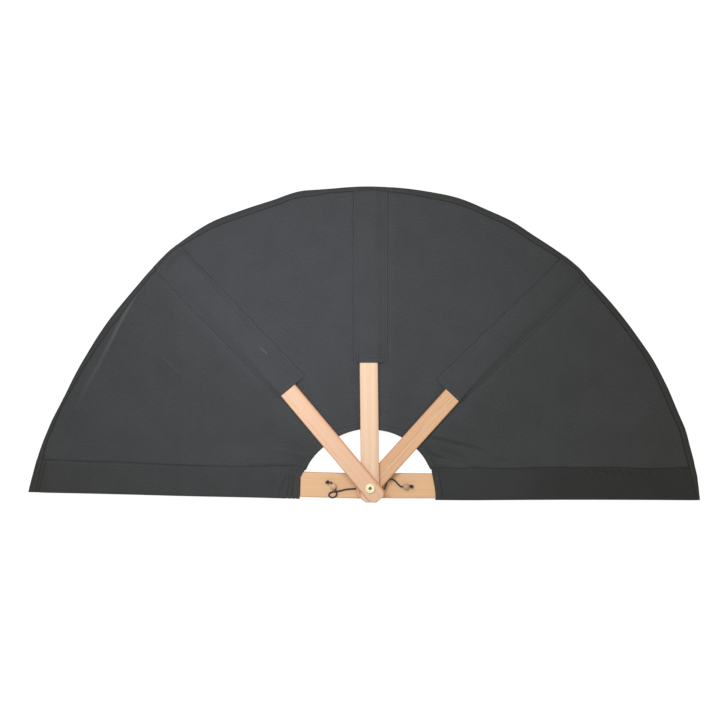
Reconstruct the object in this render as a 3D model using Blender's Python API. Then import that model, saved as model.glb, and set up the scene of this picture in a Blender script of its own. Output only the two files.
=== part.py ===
"""Folding sauna fan, lying open on its back: five beech ribs on one pivot screw, with a cloth leaf.

Metres, +Z up. The origin is on the pivot axis, at the flat back face of the barrel nut. X runs
to the right guard rib, Y to the middle rib, and Z towards the screw head.
"""

import math

import bmesh
import bpy
from mathutils import Vector

# Rest angles of the ribs, in degrees, counted from +X about the pivot
LEFT_GUARD_DEG = 178.36
LEFT_RIB_DEG = 130.0
MIDDLE_RIB_DEG = 90.6
RIGHT_RIB_DEG = 48.0
RIGHT_GUARD_DEG = -0.2

# Wooden ribs
RIB_T = 0.006
RIB_W = 0.0295
RIB_REACH = 0.470
GUARD_W = 0.041
GUARD_REACH = 0.522
RIB_TAIL = 0.0242
RIB_CORNER = 0.007
RIB_EASE = 0.0022

# Fits
SEAT_GAP = 0.0003
BORE_GAP = 0.0002
CLOTH_GAP = 0.0003

# Barrel nut with its plain back head, and the socket screw
NUT_HEAD_R = 0.008
NUT_HEAD_T = 0.003
NUT_R = 0.004
NUT_EDGE = 0.0006
SCREW_HEAD_R = 0.00775
SCREW_HEAD_T = 0.003
SCREW_EDGE = 0.0009
SCREW_R = 0.0024
SCREW_LENGTH = 0.016
THREAD_GAP = 0.0003
NUT_WELL_SPARE = 0.003
SOCKET_FLATS = 0.005
SOCKET_DEPTH = 0.002

# Washers between the ribs, and the spacer that the cord is wound round
WASHER_R = 0.009
WASHER_T = 0.0021
WASHER_EDGE = 0.0003
SPACER_R = 0.006

# Cord, beads and knots
CORD_R = 0.0013
CORD_ROOM = 0.0001
BEAD_R = 0.005
BEAD_BORE_GAP = 0.0003
KNOT_R = 0.0034
KNOT_LOBE_SHARE = 0.07
KNOT_FLAT_SHARE = 0.86

# Cloth: leaf, pockets on its front for the three inner ribs, tunnels for the guards
CLOTH_T = 0.0008
POCKET_EASE = 0.0233
POCKET_MOUTH = 0.203
POCKET_CREST = 0.0030
POCKET_CREST_DROP = 0.0012
LEFT_MOUTH_SHIFT = -0.0080
LEFT_TIP_SHIFT = 0.0098
MIDDLE_MOUTH_SHIFT = -0.0028
MIDDLE_TIP_SHIFT = -0.0056
RIGHT_MOUTH_SHIFT = 0.0088
RIGHT_TIP_SHIFT = -0.0096
LEFT_TIP_SLACK = 0.027
MIDDLE_TIP_SLACK = 0.014
RIGHT_TIP_SLACK = 0.020
POCKET_END_WALL = 0.004
TONGUE_LAP = 0.0015
LEFT_HEM_R = 0.0975
MIDDLE_HEM_R = 0.0935
RIGHT_HEM_R = 0.0963
FOLD_EASE = 0.0022
LEFT_SEAM_EASE = 0.0054
RIGHT_SEAM_EASE = 0.0084
LEFT_TUNNEL_MOUTH = 0.110
RIGHT_TUNNEL_MOUTH = 0.105
LEFT_TUNNEL_SLACK = 0.037
RIGHT_TUNNEL_SLACK = 0.016
LEFT_TUNNEL_SLANT = 0.012
RIGHT_TUNNEL_SLANT = 0.008

# Leaf between two ribs, at a quarter, half and three quarters of the way from its left edge
# to its right: rim radius, inner hem radius, and how far the rim hangs under a straight line
FAR_LEFT_RIM = (0.5250, 0.5110, 0.5020)
FAR_LEFT_HEM = (0.1055, 0.1045, 0.1015)
FAR_LEFT_HANG = (0.0220, 0.0260, 0.0120)
MID_LEFT_RIM = (0.5005, 0.4925, 0.4930)
MID_LEFT_HEM = (0.0960, 0.0948, 0.0940)
MID_LEFT_HANG = (0.0070, 0.0080, 0.0060)
MID_RIGHT_RIM = (0.4890, 0.4898, 0.4895)
MID_RIGHT_HEM = (0.0930, 0.0935, 0.0948)
MID_RIGHT_HANG = (0.0070, 0.0080, 0.0060)
FAR_RIGHT_RIM = (0.4985, 0.5090, 0.5210)
FAR_RIGHT_HEM = (0.0985, 0.1015, 0.1040)
FAR_RIGHT_HANG = (0.0070, 0.0140, 0.0100)
FLOOR_BLEND = 0.0015

# Proportions and counts
FOOT_SHARE = 0.62
WELL_SHARE = 0.45
ROUND_STEPS = 40
BALL_STEPS = 12
TUBE_STEPS = 8
EASE_STEPS = 3
LEAF_COLUMNS = 22
LEAF_ROWS_INNER = 4
LEAF_ROWS_OUTER = 9
CORD_PITCH_SHARE = 3.0

# One overrun for every cut
OVERRUN = 0.002

# Routes of the cord's two free ends, from the winding to the knot
LEFT_CORD_ROUTE = (
    (-0.0091, -0.0015, 0.0194),
    (-0.0165, -0.0030, 0.0194),
    (-0.0250, -0.0038, 0.0194),
    (-0.0391, -0.0048, 0.0195),
    (-0.0500, -0.0074, 0.0195),
    (-0.0565, -0.0083, 0.0195),
    (-0.0617, -0.0090, 0.0195),
    (-0.0655, -0.0112, 0.0195),
    (-0.0665, -0.0143, 0.0196),
    (-0.0642, -0.0172, 0.0198),
    (-0.0602, -0.0180, 0.0204),
    (-0.0562, -0.0162, 0.0213),
    (-0.0541, -0.0124, 0.0221),
    (-0.0545, -0.0087, 0.0226),
    (-0.0560, -0.0050, 0.0231),
    (-0.0574, -0.0025, 0.0233),
    (-0.0591, 0.0006, 0.0233),
    (-0.0620, 0.0058, 0.0233),
    (-0.0633, 0.0071, 0.0232),
    (-0.0653, 0.0073, 0.0231),
)
RIGHT_CORD_ROUTE = (
    (0.0090, -0.0020, 0.0194),
    (0.0160, -0.0046, 0.0194),
    (0.0215, -0.0050, 0.0194),
    (0.0247, -0.0010, 0.0194),
    (0.0266, 0.0050, 0.0194),
    (0.0290, 0.0096, 0.0190),
    (0.0329, 0.0115, 0.0166),
    (0.0372, 0.0109, 0.0132),
    (0.0412, 0.0080, 0.0114),
    (0.0447, 0.0042, 0.0115),
    (0.0479, 0.0010, 0.0128),
    (0.0506, -0.0006, 0.0143),
    (0.0532, -0.0006, 0.0146),
    (0.0588, -0.0006, 0.0146),
    (0.0640, -0.0006, 0.0146),
)
LEFT_BEAD_AT = (-0.0591, 0.0006, 0.0233)
LEFT_BEAD_AHEAD = (-0.0622, 0.0061, 0.0233)
RIGHT_BEAD_AT = (0.0588, -0.0006, 0.0146)
RIGHT_BEAD_AHEAD = (0.0640, -0.0006, 0.0146)

# Colours
BEECH_PALE = (0.86, 0.66, 0.44, 1.0)
BEECH_WARM = (0.79, 0.49, 0.29, 1.0)
BEECH_TAN = (0.69, 0.42, 0.25, 1.0)
BEECH_GUARD = (0.74, 0.48, 0.25, 1.0)
CLOTH_GREY = (0.058, 0.062, 0.064, 1.0)
BRASS = (0.86, 0.76, 0.44, 1.0)
CORD_NAVY = (0.020, 0.012, 0.030, 1.0)
BEAD_WOOD = (0.62, 0.39, 0.23, 1.0)
WASHER_BLACK = (0.03, 0.03, 0.032, 1.0)

UP = Vector((0, 0, 1))


def clear_scene():
    for ob in list(bpy.data.objects):
        bpy.data.objects.remove(ob, do_unlink=True)


def material(name, colour, roughness, metallic=0.0):
    mat = bpy.data.materials.new(name)
    mat.use_nodes = True
    shader = mat.node_tree.nodes["Principled BSDF"]
    shader.inputs["Base Color"].default_value = colour
    shader.inputs["Roughness"].default_value = roughness
    shader.inputs["Metallic"].default_value = metallic
    mat.diffuse_color = colour
    return mat


def place(ob, mat, parent):
    bpy.context.scene.collection.objects.link(ob)
    ob.data.materials.append(mat)
    ob.parent = parent
    return ob


def mesh_object(name, bm, mat, parent, sharp_deg=35):
    bmesh.ops.recalc_face_normals(bm, faces=bm.faces)
    mesh = bpy.data.meshes.new(name)
    bm.to_mesh(mesh)
    bm.free()
    mesh.shade_smooth()
    mesh.set_sharp_from_angle(angle=math.radians(sharp_deg))
    return place(bpy.data.objects.new(name, mesh), mat, parent)


def empty(name):
    ob = bpy.data.objects.new(name, None)
    bpy.context.scene.collection.objects.link(ob)
    return ob


def cut(ob, cutter, operation="DIFFERENCE"):
    cutter.hide_render = True
    cutter.display_type = "WIRE"
    mod = ob.modifiers.new("cut", "BOOLEAN")
    mod.operation = operation
    mod.solver = "EXACT"
    mod.object = cutter


# A solid of revolution about Z. A profile that starts and ends on the axis is closed there;
# any other profile is a loop round a ring's section.
def turned(profile, steps=ROUND_STEPS):
    bm = bmesh.new()
    on_axis = profile[0][0] == 0 and profile[-1][0] == 0
    rings = []
    for r, z in profile:
        if r == 0:
            rings.append([bm.verts.new((0, 0, z))])
            continue
        turn = [2 * math.pi * i / steps for i in range(steps)]
        rings.append([bm.verts.new((r * math.cos(a), r * math.sin(a), z)) for a in turn])
    pairs = list(zip(rings, rings[1:]))
    if not on_axis:
        pairs.append((rings[-1], rings[0]))
    for low, high in pairs:
        for i in range(steps):
            j = (i + 1) % steps
            corners = [low[i % len(low)], low[j % len(low)]]
            corners += [high[j % len(high)], high[i % len(high)]]
            bm.faces.new(list(dict.fromkeys(corners)))
    return bm


def rounded(corners, edge):
    """The profile with its middle corners broken by a small flat of the given size."""
    out = [corners[0]]
    for before, here, after in zip(corners, corners[1:], corners[2:]):
        here_v = Vector(here)
        for other in (Vector(before), Vector(after)):
            away = other - here_v
            out.append(tuple(here_v + away.normalized() * min(edge, away.length / 3)))
    out.append(corners[-1])
    return out


def bar(name, width, reach, level, angle_deg, mat, parent):
    """A rib: a flat bar with clipped corners, eased edges and its pivot bore at the origin."""
    half = width / 2
    tail = [(-RIB_TAIL + RIB_CORNER, half), (-RIB_TAIL, half - RIB_CORNER)]
    tip = [(reach, -half + RIB_CORNER), (reach - RIB_CORNER, -half)]
    outline = tail + [(x, -y) for x, y in reversed(tail)]
    outline += [(x, y) for x, y in reversed(tip)] + [(x, -y) for x, y in tip]
    bm = bmesh.new()
    base = bm.faces.new([bm.verts.new((x, y, 0)) for x, y in outline])
    lifted = bmesh.ops.extrude_face_region(bm, geom=[base])["geom"]
    risen = [v for v in lifted if isinstance(v, bmesh.types.BMVert)]
    bmesh.ops.translate(bm, vec=UP * RIB_T, verts=risen)
    ob = mesh_object(name, bm, mat, parent, sharp_deg=50)
    ob.location = (0, 0, level)
    ob.rotation_euler = (0, 0, math.radians(angle_deg))
    bevel = ob.modifiers.new("eased_edges", "BEVEL")
    bevel.width = RIB_EASE
    bevel.segments = EASE_STEPS
    bevel.limit_method = "ANGLE"
    bevel.angle_limit = math.radians(60)
    bore_r = NUT_R + BORE_GAP
    low, high = level - OVERRUN, level + RIB_T + OVERRUN
    hole = turned([(0, low), (bore_r, low), (bore_r, high), (0, high)])
    cut(ob, mesh_object(name + "_bore_cutter", hole, mat, None))
    return ob


# Heights of the stack on the pivot, from the back face up
PITCH = RIB_T + WASHER_T + 2 * SEAT_GAP
CORD_SPACE = 2 * (CORD_R + CORD_ROOM)
RIGHT_GUARD_Z = NUT_HEAD_T + SEAT_GAP
LEFT_GUARD_Z = RIGHT_GUARD_Z + PITCH
RIGHT_RIB_Z = LEFT_GUARD_Z + RIB_T + CORD_SPACE
MIDDLE_RIB_Z = RIGHT_RIB_Z + PITCH
LEFT_RIB_Z = MIDDLE_RIB_Z + PITCH
SCREW_SEAT_Z = LEFT_RIB_Z + RIB_T + SEAT_GAP
CLOTH_DROP = CLOTH_GAP + CLOTH_T


def heading(angle_deg):
    a = math.radians(angle_deg)
    return Vector((math.cos(a), math.sin(a), 0)), Vector((-math.sin(a), math.cos(a), 0))


# Plan of each cloth sleeve. A sleeve's own line runs beside its rib, so that the rib crosses the
# pocket from one side to the other, as the cloth is sewn a little wider than the ribs open.
class Sleeve:
    def __init__(self, rib_deg, width, reach, level, mouth, shifts, eases, tip, slant=0.0):
        self.level = level
        self.rib_half = width / 2 + CLOTH_GAP + CLOTH_T
        ahead, aside = heading(rib_deg)
        near = ahead * mouth + aside * shifts[0]
        far = ahead * reach + aside * shifts[1]
        self.u = (far - near).normalized()
        self.n = UP.cross(self.u)
        self.skew = math.radians(rib_deg) - math.atan2(self.u.y, self.u.x)
        self.skew = (self.skew + math.pi) % (2 * math.pi) - math.pi
        self.offset = near.dot(self.n)
        self.mouth = near.dot(self.u)
        upper = self.offset + self.rib_half + eases[0]
        lower = self.offset - self.rib_half - eases[1]
        self.edge = {1: upper, -1: lower}
        self.tip = tip
        self.slant = slant
        self.rib_u, self.rib_n = ahead, aside

    def rib_line(self, x, side):
        """How far the cloth over the rib's edge is from the sleeve's line through the pivot."""
        return x * math.tan(self.skew) + side * self.rib_half / math.cos(self.skew)

    def end(self, y, radius):
        return math.sqrt(radius * radius - y * y) + self.slant * y / (self.edge[1] - self.edge[-1])

    def at(self, x, y, z=0.0):
        return self.u * x + self.n * y + UP * z

    def corner(self, side, where, gap=0.0):
        """A point just outside the sleeve's edge: its tip, or its mouth."""
        y = self.edge[side]
        x = self.end(y, self.tip) if where == "tip" else self.mouth
        return self.at(x, y + side * gap)


def sleeve_columns(sleeve, x):
    """The section's columns at x: name, y, outer height and well height over the cloth's back."""
    top = RIB_T + 2 * CLOTH_DROP
    well = RIB_T + CLOTH_DROP + CLOTH_GAP
    seam = 2 * CLOTH_T
    columns = {}
    for side in (1, -1):
        edge = sleeve.edge[side]
        over = sleeve.rib_line(x, side)
        foot = over + (edge - over) * FOOT_SHARE
        root = over + (foot - over) * WELL_SHARE
        inner = over - side * CLOTH_T
        crest = over - side * POCKET_CREST
        shoulder = top - POCKET_CREST_DROP
        at_root = shoulder + (seam - shoulder) * WELL_SHARE
        at_inner = shoulder + (top - shoulder) * CLOTH_T / POCKET_CREST
        well_over = well + (CLOTH_T - well) * abs(over - inner) / abs(root - inner)
        columns[side] = [
            (edge, seam, None),
            (foot, seam, None),
            (root, at_root, CLOTH_T),
            (over, shoulder, well_over),
            (inner, at_inner, well),
            (crest, top, well),
        ]
    return columns[1] + columns[-1][::-1]


def sleeve_mesh(sleeve, hem_r=None):
    """One closed body: a pocket open at its mouth, with the leaf's strip behind the rib if any."""
    bm = bmesh.new()
    base = sleeve.level - CLOTH_DROP
    cols_at_mouth = sleeve_columns(sleeve, sleeve.mouth)
    cols_at_tip = sleeve_columns(sleeve, sleeve.tip)
    count = len(cols_at_mouth)
    well_r = sleeve.tip - POCKET_END_WALL
    rows = {}

    def row(name, spots):
        rows[name] = [None if p is None else bm.verts.new(p) for p in spots]

    def face(*corners):
        bm.faces.new(list(dict.fromkeys(corners)))

    near = [sleeve.mouth] * count
    tips = [sleeve.end(y, sleeve.tip) for y, _, _ in cols_at_tip]
    # columns follow the rib's line, so a well's far end is found on the same straight columns
    share = []
    for column, tip_x in zip(cols_at_tip, tips):
        share.append((sleeve.end(column[0], well_r) - sleeve.mouth) / (tip_x - sleeve.mouth))
    wells = []
    for k in range(count):
        a, b = cols_at_mouth[k], cols_at_tip[k]
        wells.append((near[k] + (tips[k] - near[k]) * share[k], a[0] + (b[0] - a[0]) * share[k]))

    row("floor", [sleeve.at(x, c[0], base) for x, c in zip(near, cols_at_mouth)])
    row("floor_tip", [sleeve.at(x, c[0], base) for x, c in zip(tips, cols_at_tip)])
    row("lap", [sleeve.at(x, c[0], base + CLOTH_T) for x, c in zip(near, cols_at_mouth)])
    row("high", [sleeve.at(x, c[0], base + c[1]) for x, c in zip(near, cols_at_mouth)])
    row("high_tip", [sleeve.at(x, c[0], base + c[1]) for x, c in zip(tips, cols_at_tip)])
    inside = [c[2] is not None for c in cols_at_mouth]
    roots = [k for k in range(count) if inside[k]]
    first, last = roots[0], roots[-1]
    rows["well"] = list(rows["lap"])
    rows["well_floor"] = [None] * count
    rows["well_tip"] = [None] * count
    for k in roots:
        c = cols_at_mouth[k]
        x, y = wells[k]
        rows["well_floor"][k] = bm.verts.new(sleeve.at(x, y, base + CLOTH_T))
        if k in (first, last):
            rows["well_tip"][k] = rows["well_floor"][k]
            continue
        rows["well"][k] = bm.verts.new(sleeve.at(near[k], c[0], base + c[2]))
        rows["well_tip"][k] = bm.verts.new(sleeve.at(x, y, base + c[2]))

    for k in range(count - 1):
        j = k + 1
        face(rows["floor"][k], rows["floor"][j], rows["floor_tip"][j], rows["floor_tip"][k])
        face(rows["high"][k], rows["high"][j], rows["high_tip"][j], rows["high_tip"][k])
        face(rows["floor_tip"][k], rows["floor_tip"][j], rows["high_tip"][j], rows["high_tip"][k])
        face(rows["well"][k], rows["well"][j], rows["high"][j], rows["high"][k])
        if inside[k] and inside[j]:
            face(rows["lap"][k], rows["lap"][j], rows["well_floor"][j], rows["well_floor"][k])
            face(rows["well"][k], rows["well"][j], rows["well_tip"][j], rows["well_tip"][k])
            floor_pair = (rows["well_floor"][k], rows["well_floor"][j])
            face(*floor_pair, rows["well_tip"][j], rows["well_tip"][k])
    for k in (0, count - 1):
        tip_pair = (rows["floor_tip"][k], rows["high_tip"][k])
        face(rows["floor"][k], *tip_pair, rows["high"][k], rows["lap"][k])

    if hem_r is None:
        for k in range(count - 1):
            face(rows["floor"][k], rows["floor"][k + 1], rows["lap"][k + 1], rows["lap"][k])
        return bm
    hem_low, hem_high = [], []
    ends = {side: tongue_end(sleeve, side, hem_r) for side in (1, -1)}
    y0, y1 = cols_at_mouth[0][0], cols_at_mouth[-1][0]
    for c in cols_at_mouth:
        part = (c[0] - y0) / (y1 - y0)
        spot = ends[1].lerp(ends[-1], part)
        spot = spot.normalized() * hem_r
        hem_low.append(bm.verts.new(spot + UP * base))
        hem_high.append(bm.verts.new(spot + UP * (base + CLOTH_T)))
    for k in range(count - 1):
        j = k + 1
        face(rows["floor"][k], rows["floor"][j], hem_low[j], hem_low[k])
        face(rows["lap"][k], rows["lap"][j], hem_high[j], hem_high[k])
        face(hem_low[k], hem_low[j], hem_high[j], hem_high[k])
    for k in (0, count - 1):
        face(rows["floor"][k], rows["lap"][k], hem_high[k], hem_low[k])
    return bm


def tongue_end(sleeve, side, hem_r, gap=0.0):
    """The strip behind a rib ends on the inner hem, a lap wider than the rib on each side."""
    y = side * (sleeve.rib_half - CLOTH_DROP + TONGUE_LAP + gap)
    return sleeve.rib_u * math.sqrt(hem_r * hem_r - y * y) + sleeve.rib_n * y


def through(values, s):
    """A smooth value at share s of the way through evenly spaced values."""
    spans = len(values) - 1
    k = min(int(s * spans), spans - 1)
    t = s * spans - k
    p1, p2 = values[k], values[k + 1]
    p0 = values[k - 1] if k > 0 else 2 * p1 - p2
    p3 = values[k + 2] if k + 2 <= spans else 2 * p2 - p1
    a = 2 * p1
    b = (p2 - p0) * t
    c = (2 * p0 - 5 * p1 + 4 * p2 - p3) * t * t
    d = (3 * p1 - p0 - 3 * p2 + p3) * t * t * t
    return (a + b + c + d) / 2


def on_floor(z):
    if z <= -FLOOR_BLEND:
        return 0.0
    if z >= FLOOR_BLEND:
        return z
    return (z + FLOOR_BLEND) ** 2 / (4 * FLOOR_BLEND)


def polar(p):
    return math.hypot(p.x, p.y), math.atan2(p.y, p.x)


def leaf_mesh(left, right, rim, hem, hang):
    """The cloth between two sleeves: left and right are (hem, mouth and tip corner, height)."""
    bm = bmesh.new()
    steps = [i / LEAF_ROWS_INNER for i in range(LEAF_ROWS_INNER)]
    steps += [1 + i / LEAF_ROWS_OUTER for i in range(LEAF_ROWS_OUTER + 1)]
    ends = [(polar(left[0][k]), polar(right[0][k])) for k in range(3)]
    hem_all = (ends[0][0][0], *hem, ends[0][1][0])
    rim_all = (ends[2][0][0], *rim, ends[2][1][0])
    hang_all = (0.0, *hang, 0.0)
    low, high = [], []
    for step in steps:
        k = 0 if step < 1 else 1
        a = left[0][k].lerp(left[0][k + 1], step - k)
        b = right[0][k].lerp(right[0][k + 1], step - k)
        (ra, ta), (rb, tb) = polar(a), polar(b)
        out = (ra - hem_all[0]) / (rim_all[0] - hem_all[0])
        low_row, high_row = [], []
        for i in range(LEAF_COLUMNS + 1):
            s = i / LEAF_COLUMNS
            bulge_in = through(hem_all, s) - (hem_all[0] + (hem_all[-1] - hem_all[0]) * s)
            bulge_out = through(rim_all, s) - (rim_all[0] + (rim_all[-1] - rim_all[0]) * s)
            r = ra + (rb - ra) * s + bulge_in * (1 - out) + bulge_out * out
            turn = ta + (tb - ta) * s
            z = on_floor(left[1] + (right[1] - left[1]) * s - through(hang_all, s) * out)
            spot = Vector((r * math.cos(turn), r * math.sin(turn), z))
            low_row.append(bm.verts.new(spot))
            high_row.append(bm.verts.new(spot + UP * CLOTH_T))
        low.append(low_row)
        high.append(high_row)
    rows, cols = len(steps), LEAF_COLUMNS + 1
    for grid in (low, high):
        for j in range(rows - 1):
            for i in range(cols - 1):
                bm.faces.new([grid[j][i], grid[j][i + 1], grid[j + 1][i + 1], grid[j + 1][i]])
    for j in (0, rows - 1):
        for i in range(cols - 1):
            bm.faces.new([low[j][i], low[j][i + 1], high[j][i + 1], high[j][i]])
    for i in (0, cols - 1):
        for j in range(rows - 1):
            bm.faces.new([low[j][i], low[j + 1][i], high[j + 1][i], high[j][i]])
    return bm


def smooth_route(points, pitch):
    """Points about one pitch apart on a smooth curve through the route."""
    fine = []
    spans = len(points) - 1
    per = 16
    for i in range(spans * per + 1):
        s = i / (spans * per)
        fine.append(Vector([through([p[axis] for p in points], s) for axis in range(3)]))
    travel = [0.0]
    for a, b in zip(fine, fine[1:]):
        travel.append(travel[-1] + (b - a).length)
    count = max(2, round(travel[-1] / pitch) + 1)
    out, k = [], 0
    for i in range(count):
        want = travel[-1] * i / (count - 1)
        while k < len(fine) - 2 and travel[k + 1] < want:
            k += 1
        part = (want - travel[k]) / (travel[k + 1] - travel[k])
        out.append(fine[k].lerp(fine[k + 1], min(1.0, part)))
    return out


def cord(name, route, mat, parent):
    data = bpy.data.curves.new(name, "CURVE")
    data.dimensions = "3D"
    data.bevel_depth = CORD_R
    data.bevel_resolution = 2
    data.use_fill_caps = True
    spots = smooth_route(route, CORD_PITCH_SHARE * CORD_R)
    spline = data.splines.new("POLY")
    spline.points.add(len(spots) - 1)
    for point, spot in zip(spline.points, spots):
        point.co = (*spot, 1)
    return place(bpy.data.objects.new(name, data), mat, parent)


def aimed(ob, spot, ahead):
    along = (Vector(ahead) - Vector(spot)).normalized()
    ob.location = spot
    ob.rotation_euler = along.to_track_quat("Z", "Y").to_euler()
    return ob


def bead(name, spot, ahead, mat, parent):
    """A turned ball with a plain bore along the cord."""
    bore = CORD_R + BEAD_BORE_GAP
    start = math.acos(bore / BEAD_R)
    arc = [start - 2 * start * i / BALL_STEPS for i in range(BALL_STEPS + 1)]
    profile = [(BEAD_R * math.cos(a), BEAD_R * math.sin(a)) for a in arc]
    return aimed(mesh_object(name, turned(profile, ROUND_STEPS // 2), mat, parent), spot, ahead)


def knot(name, spot, ahead, mat, parent):
    """An overhand knot pulled tight: a flattened ball with three lobes that twist along the cord."""
    bm = bmesh.new()
    bmesh.ops.create_uvsphere(bm, u_segments=ROUND_STEPS // 2, v_segments=BALL_STEPS, radius=KNOT_R)
    for v in bm.verts:
        turn = math.atan2(v.co.y, v.co.x)
        waist = 1 - (v.co.z / KNOT_R) ** 2
        lobe = 1 + KNOT_LOBE_SHARE * waist * math.cos(3 * turn + math.pi * v.co.z / KNOT_R)
        v.co = Vector((v.co.x * lobe, v.co.y * lobe, v.co.z * KNOT_FLAT_SHARE))
    return aimed(mesh_object(name, bm, mat, parent), spot, ahead)


def build():
    clear_scene()
    root = empty("fan_middle")
    left_arm = empty("fan_left_rib")
    left_end = empty("fan_left_guard")
    right_arm = empty("fan_right_rib")
    right_end = empty("fan_right_guard")
    left_arm.parent = root
    left_end.parent = left_arm
    right_arm.parent = root
    right_end.parent = right_arm

    pale = material("beech_pale", BEECH_PALE, 0.5)
    warm = material("beech_warm", BEECH_WARM, 0.5)
    tan = material("beech_tan", BEECH_TAN, 0.5)
    guard = material("beech_guard", BEECH_GUARD, 0.5)
    cloth = material("cloth", CLOTH_GREY, 0.9)
    brass = material("brass", BRASS, 0.35, 1.0)
    navy = material("cord_navy", CORD_NAVY, 0.85)
    bead_wood = material("bead_wood", BEAD_WOOD, 0.55)
    black = material("washer_black", WASHER_BLACK, 0.6)

    # ribs, each on its own level of the stack
    bar("rib_middle", RIB_W, RIB_REACH, MIDDLE_RIB_Z, MIDDLE_RIB_DEG, pale, root)
    bar("rib_left", RIB_W, RIB_REACH, LEFT_RIB_Z, LEFT_RIB_DEG, warm, left_arm)
    bar("rib_right", RIB_W, RIB_REACH, RIGHT_RIB_Z, RIGHT_RIB_DEG, tan, right_arm)
    bar("guard_left", GUARD_W, GUARD_REACH, LEFT_GUARD_Z, LEFT_GUARD_DEG, guard, left_end)
    bar("guard_right", GUARD_W, GUARD_REACH, RIGHT_GUARD_Z, RIGHT_GUARD_DEG, guard, right_end)

    # barrel nut: a turned head with a hollow shank
    shank_top = SCREW_SEAT_Z - SEAT_GAP
    well_r = SCREW_R + THREAD_GAP
    well_z = SCREW_SEAT_Z - SCREW_LENGTH - NUT_WELL_SPARE
    flange = [(0, 0), (NUT_HEAD_R, 0), (NUT_HEAD_R, NUT_HEAD_T), (NUT_R, NUT_HEAD_T)]
    well = [(NUT_R, shank_top), (well_r, shank_top), (well_r, well_z), (0, well_z)]
    nut = rounded(flange, NUT_EDGE) + well
    mesh_object("barrel_nut", turned(nut), brass, root)

    # screw: a low head with a six-sided socket
    crown = SCREW_SEAT_Z + SCREW_HEAD_T
    end = SCREW_SEAT_Z - SCREW_LENGTH
    shank = [(0, end), (SCREW_R, end), (SCREW_R, SCREW_SEAT_Z)]
    disc = [(SCREW_R, SCREW_SEAT_Z), (SCREW_HEAD_R, SCREW_SEAT_Z), (SCREW_HEAD_R, crown), (0, crown)]
    screw = mesh_object("socket_screw", turned(shank[:-1] + rounded(disc, SCREW_EDGE)), brass, root)
    socket_r = SOCKET_FLATS / math.sqrt(3)
    low, high = crown - SOCKET_DEPTH, crown + OVERRUN
    six = turned([(0, low), (socket_r, low), (socket_r, high), (0, high)], 6)
    cut(screw, mesh_object("socket_cutter", six, brass, None))

    # washers between the ribs, and the narrower spacer inside the cord's winding
    ring_r = NUT_R + BORE_GAP
    seats = {
        "washer_guards": (RIGHT_GUARD_Z, WASHER_R, WASHER_T),
        "cord_spacer": (LEFT_GUARD_Z, SPACER_R, CORD_SPACE - 2 * SEAT_GAP),
        "washer_lower": (RIGHT_RIB_Z, WASHER_R, WASHER_T),
        "washer_upper": (MIDDLE_RIB_Z, WASHER_R, WASHER_T),
    }
    for name, (rib_z, outer, thick) in seats.items():
        z = rib_z + RIB_T + SEAT_GAP
        loop = [(ring_r, z), (outer - WASHER_EDGE, z), (outer, z + WASHER_EDGE)]
        loop += [(outer, z + thick - WASHER_EDGE), (outer - WASHER_EDGE, z + thick)]
        loop += [(ring_r, z + thick)]
        mesh_object(name, turned(loop), black, root)

    # the cord: one turn round the spacer, and its two free ends with a bead and a knot each
    winding_r = SPACER_R + SEAT_GAP + CORD_R
    winding_z = LEFT_GUARD_Z + RIB_T + CORD_SPACE / 2
    arc = [2 * math.pi * i / TUBE_STEPS for i in range(TUBE_STEPS)]
    loop = [(winding_r + CORD_R * math.cos(a), winding_z + CORD_R * math.sin(a)) for a in arc]
    mesh_object("cord_winding", turned(loop), navy, root)
    for side, route, at, ahead in (
        ("left", LEFT_CORD_ROUTE, LEFT_BEAD_AT, LEFT_BEAD_AHEAD),
        ("right", RIGHT_CORD_ROUTE, RIGHT_BEAD_AT, RIGHT_BEAD_AHEAD),
    ):
        cord("cord_" + side, route, navy, root)
        bead("bead_" + side, at, ahead, bead_wood, root)
        tail, before = Vector(route[-1]), Vector(route[-2])
        along = (tail - before).normalized()
        centre = tail + along * (SEAT_GAP + KNOT_R * KNOT_FLAT_SHARE)
        knot("knot_" + side, centre, centre + along, navy, root)

    # cloth sleeves: three pockets and two tunnels
    half_ease = POCKET_EASE / 2
    eases = (half_ease, half_ease)

    def pocket(angle, level, shifts, slack):
        return Sleeve(angle, RIB_W, RIB_REACH, level, POCKET_MOUTH, shifts, eases, RIB_REACH + slack)

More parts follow.
